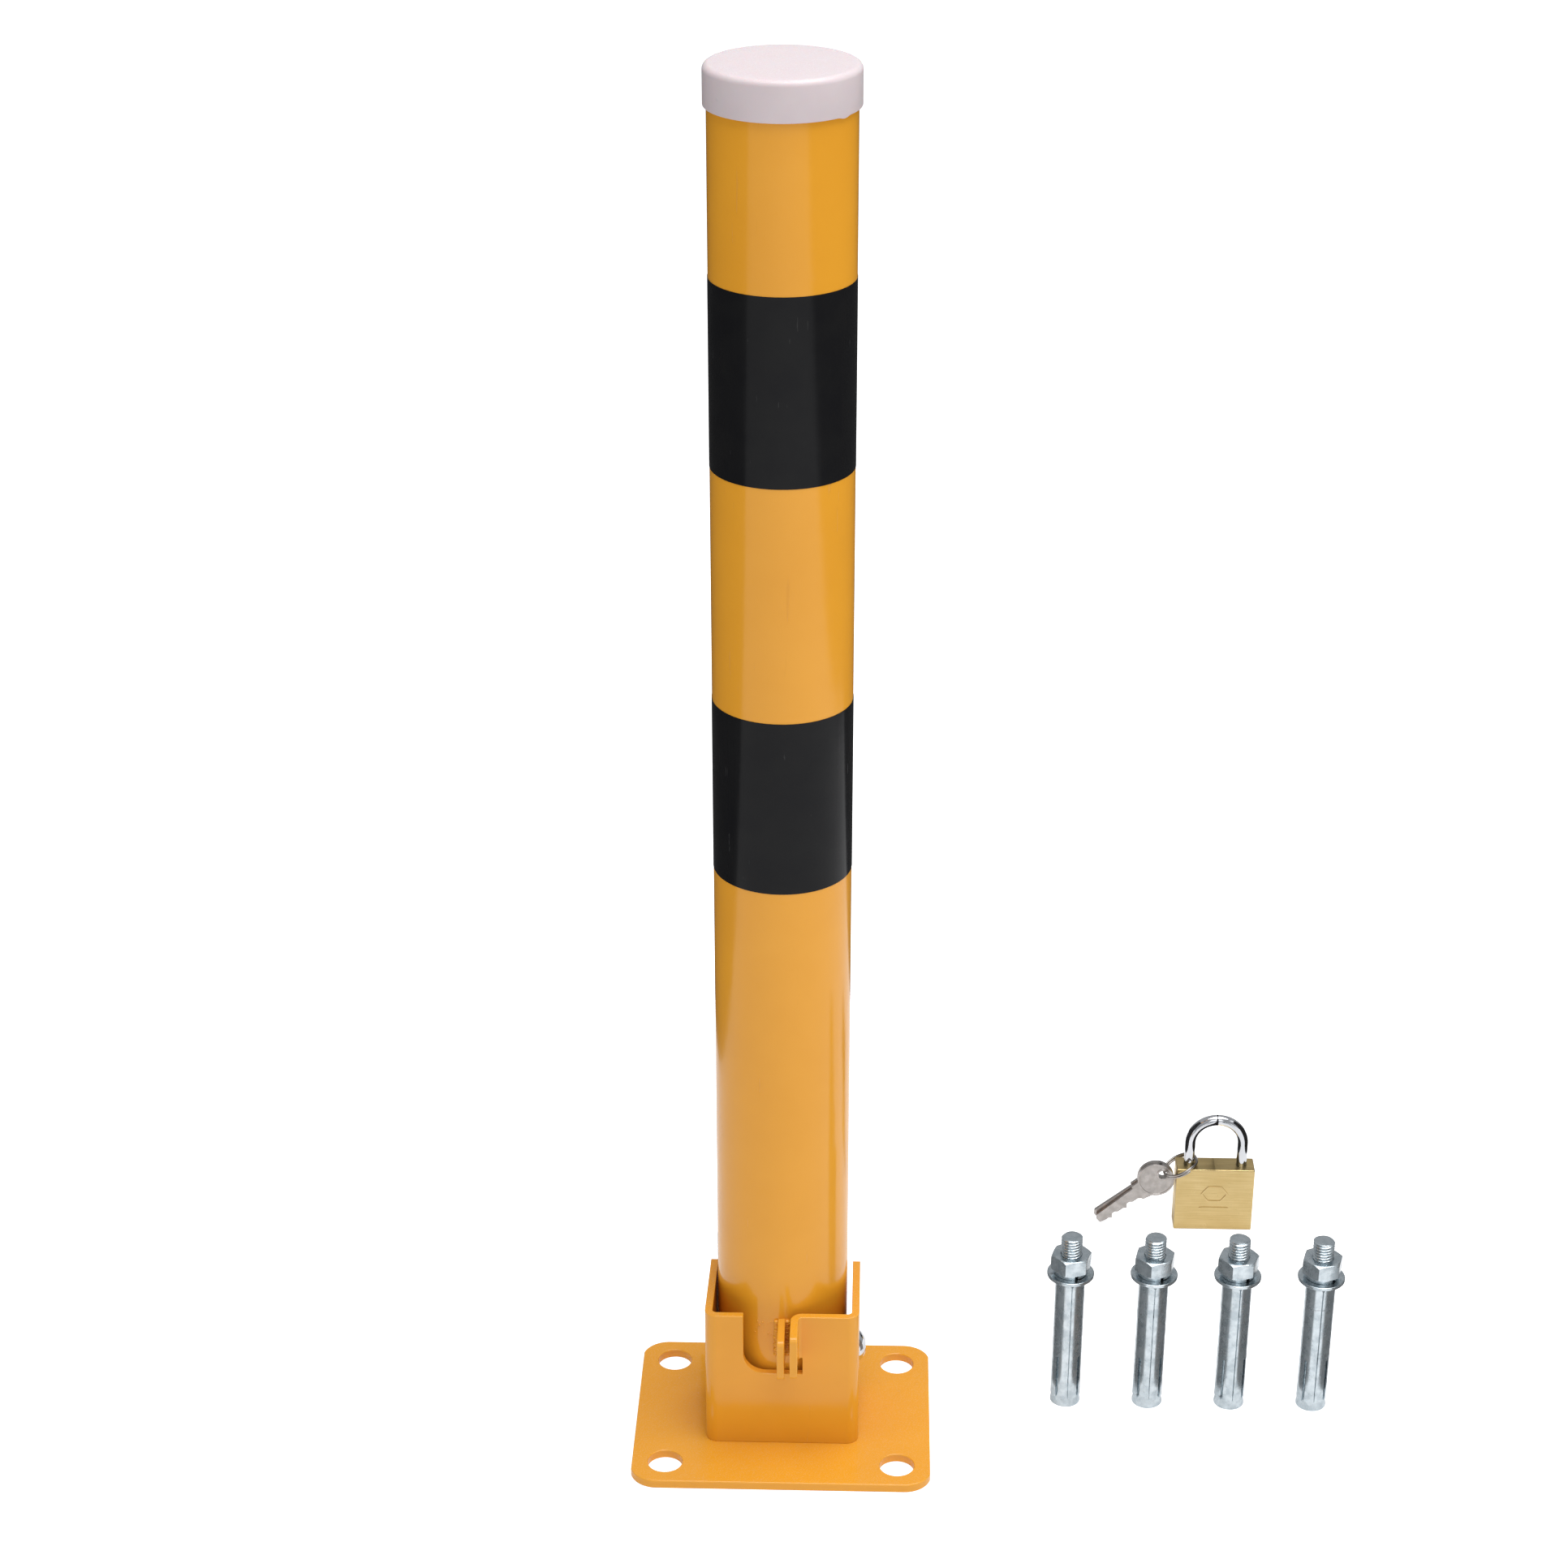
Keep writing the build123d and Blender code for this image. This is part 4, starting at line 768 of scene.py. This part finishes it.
def bead_tree():
    sockets = [("Puddles", "Int", 16), ("Start", "Vector", None), ("Step", "Vector", None)]
    sockets += [("Size", "Vector", None), ("Unevenness", "Float", 0.2)]
    sockets += [("Wander", "Float", 0.2 * MM), ("Seed", "Int", 1)]
    tree, given, result = new_geometry("weld_bead", sockets)
    line = {"Count": given["Puddles"], "Start Location": given["Start"], "Offset": given["Step"]}
    row = add(tree, "GeometryNodeMeshLine", line).outputs[0]
    back = vector_maths(tree, "SCALE", given["Wander"], -1.0)
    stray = {"Min": back, "Max": given["Wander"], "Seed": given["Seed"]}
    wander = add(tree, "FunctionNodeRandomValue", stray, data_type="FLOAT_VECTOR").outputs[0]
    uneven = add(tree, "GeometryNodeSetPosition", {"Geometry": row, "Offset": wander}).outputs[0]
    round_ball = {"Segments": PUDDLE_SEGMENTS, "Rings": PUDDLE_RINGS, "Radius": 1.0}
    ball = add(tree, "GeometryNodeMeshUVSphere", round_ball).outputs[0]
    least = maths(tree, "SUBTRACT", 1.0, given["Unevenness"])
    most = maths(tree, "ADD", 1.0, given["Unevenness"])
    share = add(tree, "FunctionNodeRandomValue", {2: least, 3: most, "Seed": given["Seed"]}).outputs[1]
    laid = {"Points": uneven, "Instance": ball, "Scale": vector_maths(tree, "SCALE", given["Size"], share)}
    return close_tree(tree, given, result, add(tree, "GeometryNodeInstanceOnPoints", laid).outputs[0])


BEAD = bead_tree()
PUDDLE_UNEVEN = 0.16
TORCH_WANDER = 0.14 * MM


def bead(name, start, end, size, pitch, seed):
    """A bead from one place to another."""
    start, end = Vector(start), Vector(end)
    count = max(2, round((end - start).length / pitch))
    values = {"Puddles": count, "Start": start, "Step": (end - start) / (count - 1), "Size": size}
    values |= {"Unevenness": PUDDLE_UNEVEN, "Wander": TORCH_WANDER, "Seed": seed}
    return grown(name, BEAD, "yellow_paint", **values)


EAR_PUDDLE = (1.35 * MM, 1.15 * MM, 0.95 * MM)
EAR_PITCH = 1.15 * MM
EAR_SEED = 4
BESIDE_EAR = 0.7 * MM
ON_TUBE = 0.75 * MM
ear_low, ear_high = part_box("post_ear_weld")
plate_low, plate_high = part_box("post_ear")
ear_beads = []
for side, x in enumerate((plate_low.x - BESIDE_EAR, plate_high.x + BESIDE_EAR)):
    foot = (x, ear_high.y - ON_TUBE, ear_low.z)
    top = (x, ear_high.y - ON_TUBE, ear_high.z)
    ear_beads.append(bead("ear_bead", foot, top, EAR_PUDDLE, EAR_PITCH, EAR_SEED + side))
as_piece("ear_weld_beads", joined("ear_weld_beads", ear_beads), "post", "yellow_paint", "post_ear_weld")

SOCKET_PUDDLE = (1.4 * MM, 1.4 * MM, 1.2 * MM)
SOCKET_PITCH = 1.4 * MM
SOCKET_SEED = 20
BEAD_RISE = 0.45 * MM
LEG = 2.5 * MM
inside_low, inside_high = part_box("socket_welds")
bead_z = inside_low.z + BEAD_RISE
left_x, right_x, front_y = inside_low.x + LEG / 4, inside_high.x - LEG / 4, inside_low.y + LEG / 4
bead_ends = [
    ((left_x, inside_high.y, bead_z), (left_x, inside_low.y + LEG, bead_z)),
    ((inside_low.x + LEG, front_y, bead_z), (inside_high.x - LEG, front_y, bead_z)),
    ((right_x, inside_low.y + LEG, bead_z), (right_x, inside_high.y, bead_z)),
]
socket_beads = [
    bead("socket_bead", start, end, SOCKET_PUDDLE, SOCKET_PITCH, SOCKET_SEED + index)
    for index, (start, end) in enumerate(bead_ends)
]
socket_weld = joined("socket_weld_beads", socket_beads)
as_piece("socket_weld_beads", socket_weld, "base", "yellow_paint", "socket_welds")
ear_faces = sum(len(mesh.polygons) for mesh in ear_beads)
print("puddles of weld on the ear:", ear_faces // (PUDDLE_SEGMENTS * PUDDLE_RINGS))

# %% [markdown]
# Beside the ear, a few drops of weld spatter froze on the tube and were painted over. The drops are
# scattered by a seeded Distribute Points node over a small patch of the tube's skin, each a round ball
# centred on it. They could be placed by hand, but scattered drops look less arranged.

# %% Weld spatter
DROP_SUBDIVISIONS = 3
PATCH_STEPS = 12


def spatter_tree():
    sockets = [("Skin", "Geometry", None), ("Per Square Metre", "Float", 2e5), ("Least", "Float", 0.2 * MM)]
    sockets += [("Most", "Float", 0.6 * MM), ("Seed", "Int", 3)]
    tree, given, result = new_geometry("spatter", sockets)
    spread = {"Mesh": given["Skin"], "Density": given["Per Square Metre"], "Seed": given["Seed"]}
    drops = add(tree, "GeometryNodeDistributePointsOnFaces", spread).outputs[0]
    sizes = {2: given["Least"], 3: given["Most"], "Seed": given["Seed"]}
    size = add(tree, "FunctionNodeRandomValue", sizes).outputs[1]
    round_drop = {"Radius": 1.0, "Subdivisions": DROP_SUBDIVISIONS}
    ball = add(tree, "GeometryNodeMeshIcoSphere", round_drop).outputs[0]
    thrown = {"Points": drops, "Instance": ball, "Scale": size}
    return close_tree(tree, given, result, add(tree, "GeometryNodeInstanceOnPoints", thrown).outputs[0])


def tube_patch(name, middle, radius, first, last, low, high):
    """A patch of a round tube's skin between two angles and two heights."""
    work = bmesh.new()
    columns = []
    for step in range(PATCH_STEPS + 1):
        angle = first + (last - first) * step / PATCH_STEPS
        x, y = middle.x + radius * math.cos(angle), middle.y + radius * math.sin(angle)
        columns.append((work.verts.new((x, y, low)), work.verts.new((x, y, high))))
    for left, right in zip(columns, columns[1:]):
        work.faces.new((left[0], right[0], right[1], left[1]))
    return mesh_of(name, work)


FILM_THICKNESS = 0.15 * MM
FRONT = -math.pi / 2
PATCH_FIRST, PATCH_LAST = FRONT - 0.42, FRONT - 0.12
PATCH_LOW, PATCH_HIGH = ear_low.z + 6 * MM, ear_high.z - 1 * MM
DROPS_PER_AREA = 1.1e5
SPATTER_SEED = 11
band_low, band_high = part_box("band_lower")
tube_middle = (band_low + band_high) / 2
tube_radius = (band_high.x - band_low.x) / 2 - FILM_THICKNESS
skin = tube_patch("spatter_skin", tube_middle, tube_radius, PATCH_FIRST, PATCH_LAST, PATCH_LOW, PATCH_HIGH)
drop_values = {"Per_Square_Metre": DROPS_PER_AREA, "Seed": SPATTER_SEED}
spatter = grown("weld_spatter", spatter_tree(), "yellow_paint", skin, **drop_values)
as_piece("weld_spatter", spatter, "post", "yellow_paint")
print("drops of spatter:", len(spatter.polygons) // (20 * 4 ** (DROP_SUBDIVISIONS - 1)))

# %% [markdown]
# Round pieces that the CAD model draws with sharp corners are turned again on a lathe: a list of radius
# and height pairs, spun about the upright axis. The cap's rim is rounded by the mould, its top is
# slightly domed, and a little flash is left at the rim where the moulding was cut off. A Screw modifier
# could spin the profile too, but a small function closes the top to a point and leaves the flash easy to
# pull down.

# %% Lathe, and the cap
ON_AXIS = 1e-9


def ring_of(work, middle, radius, height, sides):
    """The points of one ring, or one point on the axis."""
    if radius < ON_AXIS:
        return [work.verts.new((middle.x, middle.y, height))]
    around = [2 * math.pi * side / sides for side in range(sides)]
    return [
        work.verts.new((middle.x + radius * math.cos(angle), middle.y + radius * math.sin(angle), height))
        for angle in around
    ]


def lathe(name, profile, middle, sides):
    """Spins a profile of (radius, height) pairs about an upright axis. A radius of zero closes the end."""
    work = bmesh.new()
    rings = [ring_of(work, middle, radius, height, sides) for radius, height in profile]
    for lower, upper in zip(rings, rings[1:]):
        for side in range(sides):
            after = (side + 1) % sides
            bottom = [lower[side % len(lower)], lower[after % len(lower)]]
            top = [upper[after % len(upper)], upper[side % len(upper)]]
            work.faces.new(list(dict.fromkeys(bottom + top)))
    bmesh.ops.recalc_face_normals(work, faces=work.faces)
    mesh = mesh_of(name, work)
    mesh.shade_smooth()
    return mesh


def quarter(radius, height, size, start, end, steps):
    """Points on a rounded corner of a profile, centred at a radius and height."""
    angles = [start + (end - start) * step / steps for step in range(steps + 1)]
    return [(radius + size * math.cos(angle), height + size * math.sin(angle)) for angle in angles]


CAP_SIDES = 160
CAP_ROUND, RIM_ROUND = 2.6 * MM, 0.5 * MM
CAP_SKIN, RIM_SINK = 2 * MM, 0.2 * MM
BORE = tube_radius + 0.02 * MM
DOME = [(0.6, 0.02 * MM), (0.0, 0.05 * MM)]
FLASH_TURN, FLASH_HALF_TURN = math.radians(-38), 0.10
FLASH_DROP, FLASH_REACH = 0.7 * MM, 0.6 * MM
cap_low, cap_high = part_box("post_cap")
cap_middle = (cap_low + cap_high) / 2
cap_radius = (cap_high.x - cap_low.x) / 2
round_radius, round_z = cap_radius - CAP_ROUND, cap_high.z - CAP_ROUND
profile = [(BORE, cap_high.z - CAP_SKIN), (BORE, cap_low.z + RIM_SINK)]
profile += quarter(cap_radius - RIM_ROUND, cap_low.z + RIM_ROUND, RIM_ROUND, -math.pi / 2, 0.0, 4)
profile += [(cap_radius, cap_middle.z)]
profile += quarter(round_radius, round_z, CAP_ROUND, 0.0, math.pi / 2, 10)
profile += [(cap_radius * share, cap_high.z + rise) for share, rise in DOME]
cap_mesh = lathe("cap", profile, cap_middle, CAP_SIDES)
for vertex in cap_mesh.vertices:
    turn = math.atan2(vertex.co.y - cap_middle.y, vertex.co.x - cap_middle.x) - FLASH_TURN
    if vertex.co.z < cap_low.z + FLASH_REACH and abs(turn) < FLASH_HALF_TURN:
        vertex.co.z -= FLASH_DROP * math.cos(turn / FLASH_HALF_TURN * math.pi / 2)
as_piece("cap", cap_mesh, "post", "white_plastic", "post_cap")
print("cap radius in mm:", round(cap_radius / MM, 2))

# %% [markdown]
# A real thread is a helix, and its crests catch the light one above the other at a slant. The stud starts
# as a plain cylinder with most of its rings gathered in the threaded end. Each point is then moved: its
# height by the ring it is on, and its radius by where it stands on the helix, on the cone at the foot, or
# on the end chamfer. Stacked rings would be simpler, but they don't climb, and a close look shows it.

# %% Threaded studs
STUD_SIDES, STUD_RINGS = 40, 200
FOOT_SHARE, SHANK_SHARE = 0.06, 0.07
CREST, ROOT = 0.14, 0.86


def stud_height(tree, given, along):
    """Spreads a stud's rings: a few over the foot and the shank, and the rest over the thread."""
    shank_top = maths(tree, "SUBTRACT", given["Length"], given["Thread"])
    shank_length = maths(tree, "SUBTRACT", shank_top, given["Cone Top"])
    foot = rescale(tree, along, 0.0, FOOT_SHARE, 0.0, given["Cone Top"])
    shank = rescale(tree, along, FOOT_SHARE, SHANK_SHARE, 0.0, shank_length)
    end = rescale(tree, along, SHANK_SHARE, 1.0, 0.0, given["Thread"])
    return maths(tree, "ADD", maths(tree, "ADD", foot, shank), end), shank_top


def thread_cut(tree, given, height, turn, start):
    """The cut's depth at a height and a turn: narrow crests, flat roots, nothing below the start."""
    helix = maths(tree, "SUBTRACT", maths(tree, "DIVIDE", height, given["Pitch"]), turn)
    phase = maths(tree, "FRACT", maths(tree, "ADD", helix, given["Turn"]))
    climb = maths(tree, "ABSOLUTE", maths(tree, "SUBTRACT", maths(tree, "MULTIPLY", phase, 2.0), 1.0))
    valley = rescale(tree, climb, CREST, ROOT)
    threaded = rescale(tree, height, start, maths(tree, "ADD", start, given["Pitch"]))
    return maths(tree, "MULTIPLY", maths(tree, "MULTIPLY", valley, threaded), given["Depth"])


def stud_tree():
    sockets = [("Middle", "Vector", None), ("Length", "Float", 92 * MM), ("Radius", "Float", 5 * MM)]
    sockets += [("Depth", "Float", 0.85 * MM), ("Pitch", "Float", 1.5 * MM), ("Thread", "Float", 21 * MM)]
    sockets += [("Foot Radius", "Float", 7.1 * MM), ("Lip", "Float", 0.8 * MM)]
    sockets += [("Cone Top", "Float", 10.3 * MM), ("Turn", "Float", 0.0)]
    tree, given, result = new_geometry("threaded_stud", sockets)
    shape = {"Vertices": STUD_SIDES, "Side Segments": STUD_RINGS, "Radius": 1.0, "Depth": 1.0}
    rod = add(tree, "GeometryNodeMeshCylinder", shape).outputs[0]
    place = add(tree, "GeometryNodeInputPosition").outputs[0]
    apart = add(tree, "ShaderNodeSeparateXYZ", {0: place}).outputs
    height, start = stud_height(tree, given, maths(tree, "ADD", apart["Z"], 0.5))
    turn = maths(tree, "DIVIDE", maths(tree, "ARCTAN2", apart["Y"], apart["X"]), 2 * math.pi)
    cut = thread_cut(tree, given, height, turn, start)
    cone = rescale(tree, height, given["Lip"], given["Cone Top"], given["Foot Radius"], given["Radius"])
    chamfer_start = maths(tree, "SUBTRACT", given["Length"], given["Depth"])
    root = maths(tree, "SUBTRACT", given["Radius"], given["Depth"])
    chamfer = rescale(tree, height, chamfer_start, given["Length"], given["Foot Radius"], root)
    radius = maths(tree, "MINIMUM", maths(tree, "SUBTRACT", cone, cut), chamfer)
    x, y = (maths(tree, "MULTIPLY", apart[axis], radius) for axis in "XY")
    local = add(tree, "ShaderNodeCombineXYZ", {"X": x, "Y": y, "Z": height}).outputs[0]
    spot = vector_maths(tree, "ADD", local, given["Middle"])
    cut_rod = add(tree, "GeometryNodeSetPosition", {"Geometry": rod, "Position": spot}).outputs[0]
    return close_tree(tree, given, result, cut_rod)


STUD = stud_tree()
STUD_TURN = 0.23
for anchor in ANCHORS:
    node = f"anchor_{anchor}_stud"
    low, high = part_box(node)
    foot = Vector(((low.x + high.x) / 2, (low.y + high.y) / 2, low.z))
    stud_values = {"Middle": foot, "Length": high.z - low.z, "Turn": anchor * STUD_TURN}
    stud_mesh = creased(grown(node + "_cut", STUD, SLOT_OF[node], **stud_values))
    as_piece(node + "_cut", stud_mesh, body_of(node), SLOT_OF[node], node)
print("stud polygons:", len(stud_mesh.polygons))

# %% [markdown]
# A spring washer is a bar of spring steel coiled through almost a turn, its two ends a little apart in
# height. The bar's section is a rounded rectangle swept along a short spiral. The same two nodes, a
# spiral and a sweep, later make the split ring.


# %% Spring washers
def coil(tree, given, resolution, height):
    """A round coil with the group's own turns and radius."""
    radius = given["Radius"]
    shape = {"Resolution": resolution, "Rotations": given["Turns"], "Height": height}
    shape |= {"Start Radius": radius, "End Radius": radius}
    return add(tree, "GeometryNodeCurveSpiral", shape).outputs[0]


def swept(tree, curve, section):
    """Sweeps a section along a curve, always the same way up, and closes the ends."""
    upright = add(tree, "GeometryNodeSetCurveNormal", {"Curve": curve}, mode="Z_UP").outputs[0]
    sweep = {"Curve": upright, "Profile Curve": section, "Fill Caps": True}
    return add(tree, "GeometryNodeCurveToMesh", sweep).outputs[0]


BAR_WIDTH = 2.6 * MM
COIL_STEPS = 72


def washer_tree():
    sockets = [("Turns", "Float", 0.97), ("Radius", "Float", 6.5 * MM), ("Rise", "Float", 0.3 * MM)]
    sockets += [("Width", "Float", BAR_WIDTH), ("Thickness", "Float", 2.0 * MM)]
    sockets += [("Corner", "Float", 0.3 * MM)]
    tree, given, result = new_geometry("spring_washer", sockets)
    bar = {"Width": given["Width"], "Height": given["Thickness"]}
    section = add(tree, "GeometryNodeCurvePrimitiveQuadrilateral", bar).outputs[0]
    corner = {"Curve": section, "Radius": given["Corner"], "Count": 3}
    rounded = add(tree, "GeometryNodeFilletCurve", corner, mode="POLY").outputs[0]
    spiral = coil(tree, given, COIL_STEPS, given["Rise"])
    return close_tree(tree, given, result, swept(tree, spiral, rounded))


WASHER = washer_tree()
COIL_DROP = 0.1 * MM
GAP_START, GAP_STEP = math.radians(-85), math.radians(7)
for anchor in ANCHORS:
    node = f"anchor_{anchor}_spring_washer"
    low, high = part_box(node)
    middle = (low + high) / 2 - Vector((0, 0, COIL_DROP))
    washer = grown(node + "_coiled", WASHER, SLOT_OF[node], Radius=(high.x - low.x - BAR_WIDTH) / 2)
    turn = Matrix.Rotation(GAP_START + anchor * GAP_STEP, 4, "Z")
    as_piece(node + "_coiled", creased(moved(washer, middle, turn)), body_of(node), SLOT_OF[node], node)
washer_z = [vertex.co.z for vertex in washer.vertices]
print("washer height with its two ends, in mm:", round((max(washer_z) - min(washer_z)) / MM, 2))

# %% [markdown]
# A key ring is a spring wire wound through two flat turns with a jog between them. The wire is round, and
# the ends are cut square. The jog sits in the gap between the ends, which is where a key is fed on. Two
# plain rings would look the same from afar, but the ends and the jog are what tell a split ring.

# %% Split ring
RING_STEPS = 110
WIRE_SIDES = 16
JOG_START, JOG_END = 0.46, 0.54


def ring_tree():
    sockets = [("Turns", "Float", 1.88), ("Radius", "Float", 9 * MM), ("Wire", "Float", 0.6 * MM)]
    tree, given, result = new_geometry("split_ring", sockets)
    flat = coil(tree, given, RING_STEPS, 0.0)
    factor = add(tree, "GeometryNodeSplineParameter").outputs["Factor"]
    drop = maths(tree, "MULTIPLY", given["Wire"], -1.0)
    jog = rescale(tree, factor, JOG_START, JOG_END, drop, given["Wire"], smooth=True)
    lift = add(tree, "ShaderNodeCombineXYZ", {"Z": jog}).outputs[0]
    wound = add(tree, "GeometryNodeSetPosition", {"Geometry": flat, "Offset": lift}).outputs[0]
    wire = {"Resolution": WIRE_SIDES, "Radius": given["Wire"]}
    section = add(tree, "GeometryNodeCurvePrimitiveCircle", wire).outputs[0]
    return close_tree(tree, given, result, swept(tree, wound, section))


RING_SLOPE = math.radians(-27)
RING_GAP = math.radians(-60)
ring_low, ring_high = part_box("key_ring")
ring_turn = Matrix.Rotation(RING_SLOPE, 4, "Y") @ Matrix.Rotation(RING_GAP, 4, "Z")
wound_ring = grown("split_ring", ring_tree(), SLOT_OF["key_ring"])
ring_mesh = creased(moved(wound_ring, (ring_low + ring_high) / 2, ring_turn))
as_piece("split_ring", ring_mesh, body_of("key_ring"), SLOT_OF["key_ring"], "key_ring")
print("split ring polygons:", len(ring_mesh.polygons))

# %% [markdown]
# The padlock's front carries a plain mark of its own: a thin raised six-sided outline with a bar
# underneath. It is struck in the brass, so it stands only a fraction of a millimetre proud. A bump in the
# finish would be cheaper, but only a real rim catches the light on its upper side and throws a shade
# below.


# %% Raised shapes
def raised(work, loops, front, depth):
    """Raises a flat outline from the lock's front face. A second loop leaves its middle open."""
    rings = []
    for loop in loops:
        rings += [[work.verts.new((x, y, z)) for x, z in loop] for y in (front, front - depth)]
    crests = rings[1::2]
    count = len(crests[0])
    bands = [*zip(rings[0::2], crests)] + [tuple(crests)] * (len(loops) - 1)
    for base, crest in bands:
        for side in range(count):
            after = (side + 1) % count
            work.faces.new((base[side], base[after], crest[after], crest[side]))
    if len(loops) == 1:
        work.faces.new(crests[0])


def struck(name, work):
    """Ends the work on raised shapes and makes them a piece of the padlock's body."""
    bmesh.ops.recalc_face_normals(work, faces=work.faces)
    as_piece(name, mesh_of(name, work), body_of("padlock_body"), "brass")


def turns(count):
    """Angles all round, evenly spaced."""
    return [2 * math.pi * step / count for step in range(count)]


def rounded_loop(middle_x, middle_z, half_width, half_height, power, count):
    """A soft closed loop. A power of 2 gives an ellipse, and more gives a box with round corners."""
    loop = []
    for angle in turns(count):
        c, s = math.cos(angle), math.sin(angle)
        x = half_width * math.copysign(abs(c) ** (2 / power), c)
        z = half_height * math.copysign(abs(s) ** (2 / power), s)
        loop.append((middle_x + x, middle_z + z))
    return loop


MARK_STRETCH = 1.35
SOFTNESS, SOFT_REACH = 0.12, 0.93


def hexagon_loop(middle_x, middle_z, radius, count):
    """A wide six-sided loop with soft corners."""
    loop = []
    for angle in turns(count):
        wedge = (angle % (math.pi / 3)) - math.pi / 6
        flat = math.cos(math.pi / 6) / math.cos(wedge)
        reach = radius * (flat * (1 - SOFTNESS) + SOFTNESS * SOFT_REACH)
        loop.append((middle_x + MARK_STRETCH * reach * math.cos(angle), middle_z + reach * math.sin(angle)))
    return loop


# %% [markdown]
# The mark sits a little above the middle of the lock's front. A small brass disc closes the hole through
# which the shackle's stop pin is pressed in. Real padlocks have such a plug, filed flush so that it
# hardly shows, so the disc is far lower than the mark.

# %% A plain mark and the stop pin's plug
LOOP_POINTS, PLUG_POINTS = 48, 24
MARK_SHARE = 0.60
MARK_RADIUS, MARK_LINE = 5.2 * MM, 0.7 * MM
BAR_DROP = 3.4 * MM
BAR_HALF_WIDTH, BAR_HALF_HEIGHT, BAR_POWER = 7.5 * MM, 0.7 * MM, 6.0
RELIEF, SINK = 0.40 * MM, 0.05 * MM
PLUG_MARGIN, PLUG_RELIEF = 0.15 * MM, 0.08 * MM
lock_low, lock_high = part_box("padlock_body")
face_y = lock_low.y + SINK
mark_x = (lock_low.x + lock_high.x) / 2
mark_z = lock_low.z + (lock_high.z - lock_low.z) * MARK_SHARE
bar_z = mark_z - MARK_RADIUS - BAR_DROP
mark_radii = (MARK_RADIUS, MARK_RADIUS - MARK_LINE)
outlines = [hexagon_loop(mark_x, mark_z, radius, LOOP_POINTS) for radius in mark_radii]
bar = rounded_loop(mark_x, bar_z, BAR_HALF_WIDTH, BAR_HALF_HEIGHT, BAR_POWER, LOOP_POINTS)
mark = bmesh.new()
raised(mark, outlines, face_y, RELIEF)
raised(mark, [bar], face_y, RELIEF)
struck("lock_mark", mark)

pin_low, pin_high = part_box("shackle_stop_pin")
pin_middle = (pin_low + pin_high) / 2
plug_radius = (pin_high.x - pin_low.x) / 2 + PLUG_MARGIN
plug = bmesh.new()
disc = rounded_loop(pin_middle.x, pin_middle.z, plug_radius, plug_radius, 2.0, PLUG_POINTS)
raised(plug, [disc], face_y, PLUG_RELIEF)
struck("stop_pin_plug", plug)
print("the mark is raised by", RELIEF / MM, "mm, the plug is", round(2 * plug_radius / MM, 2), "mm wide")
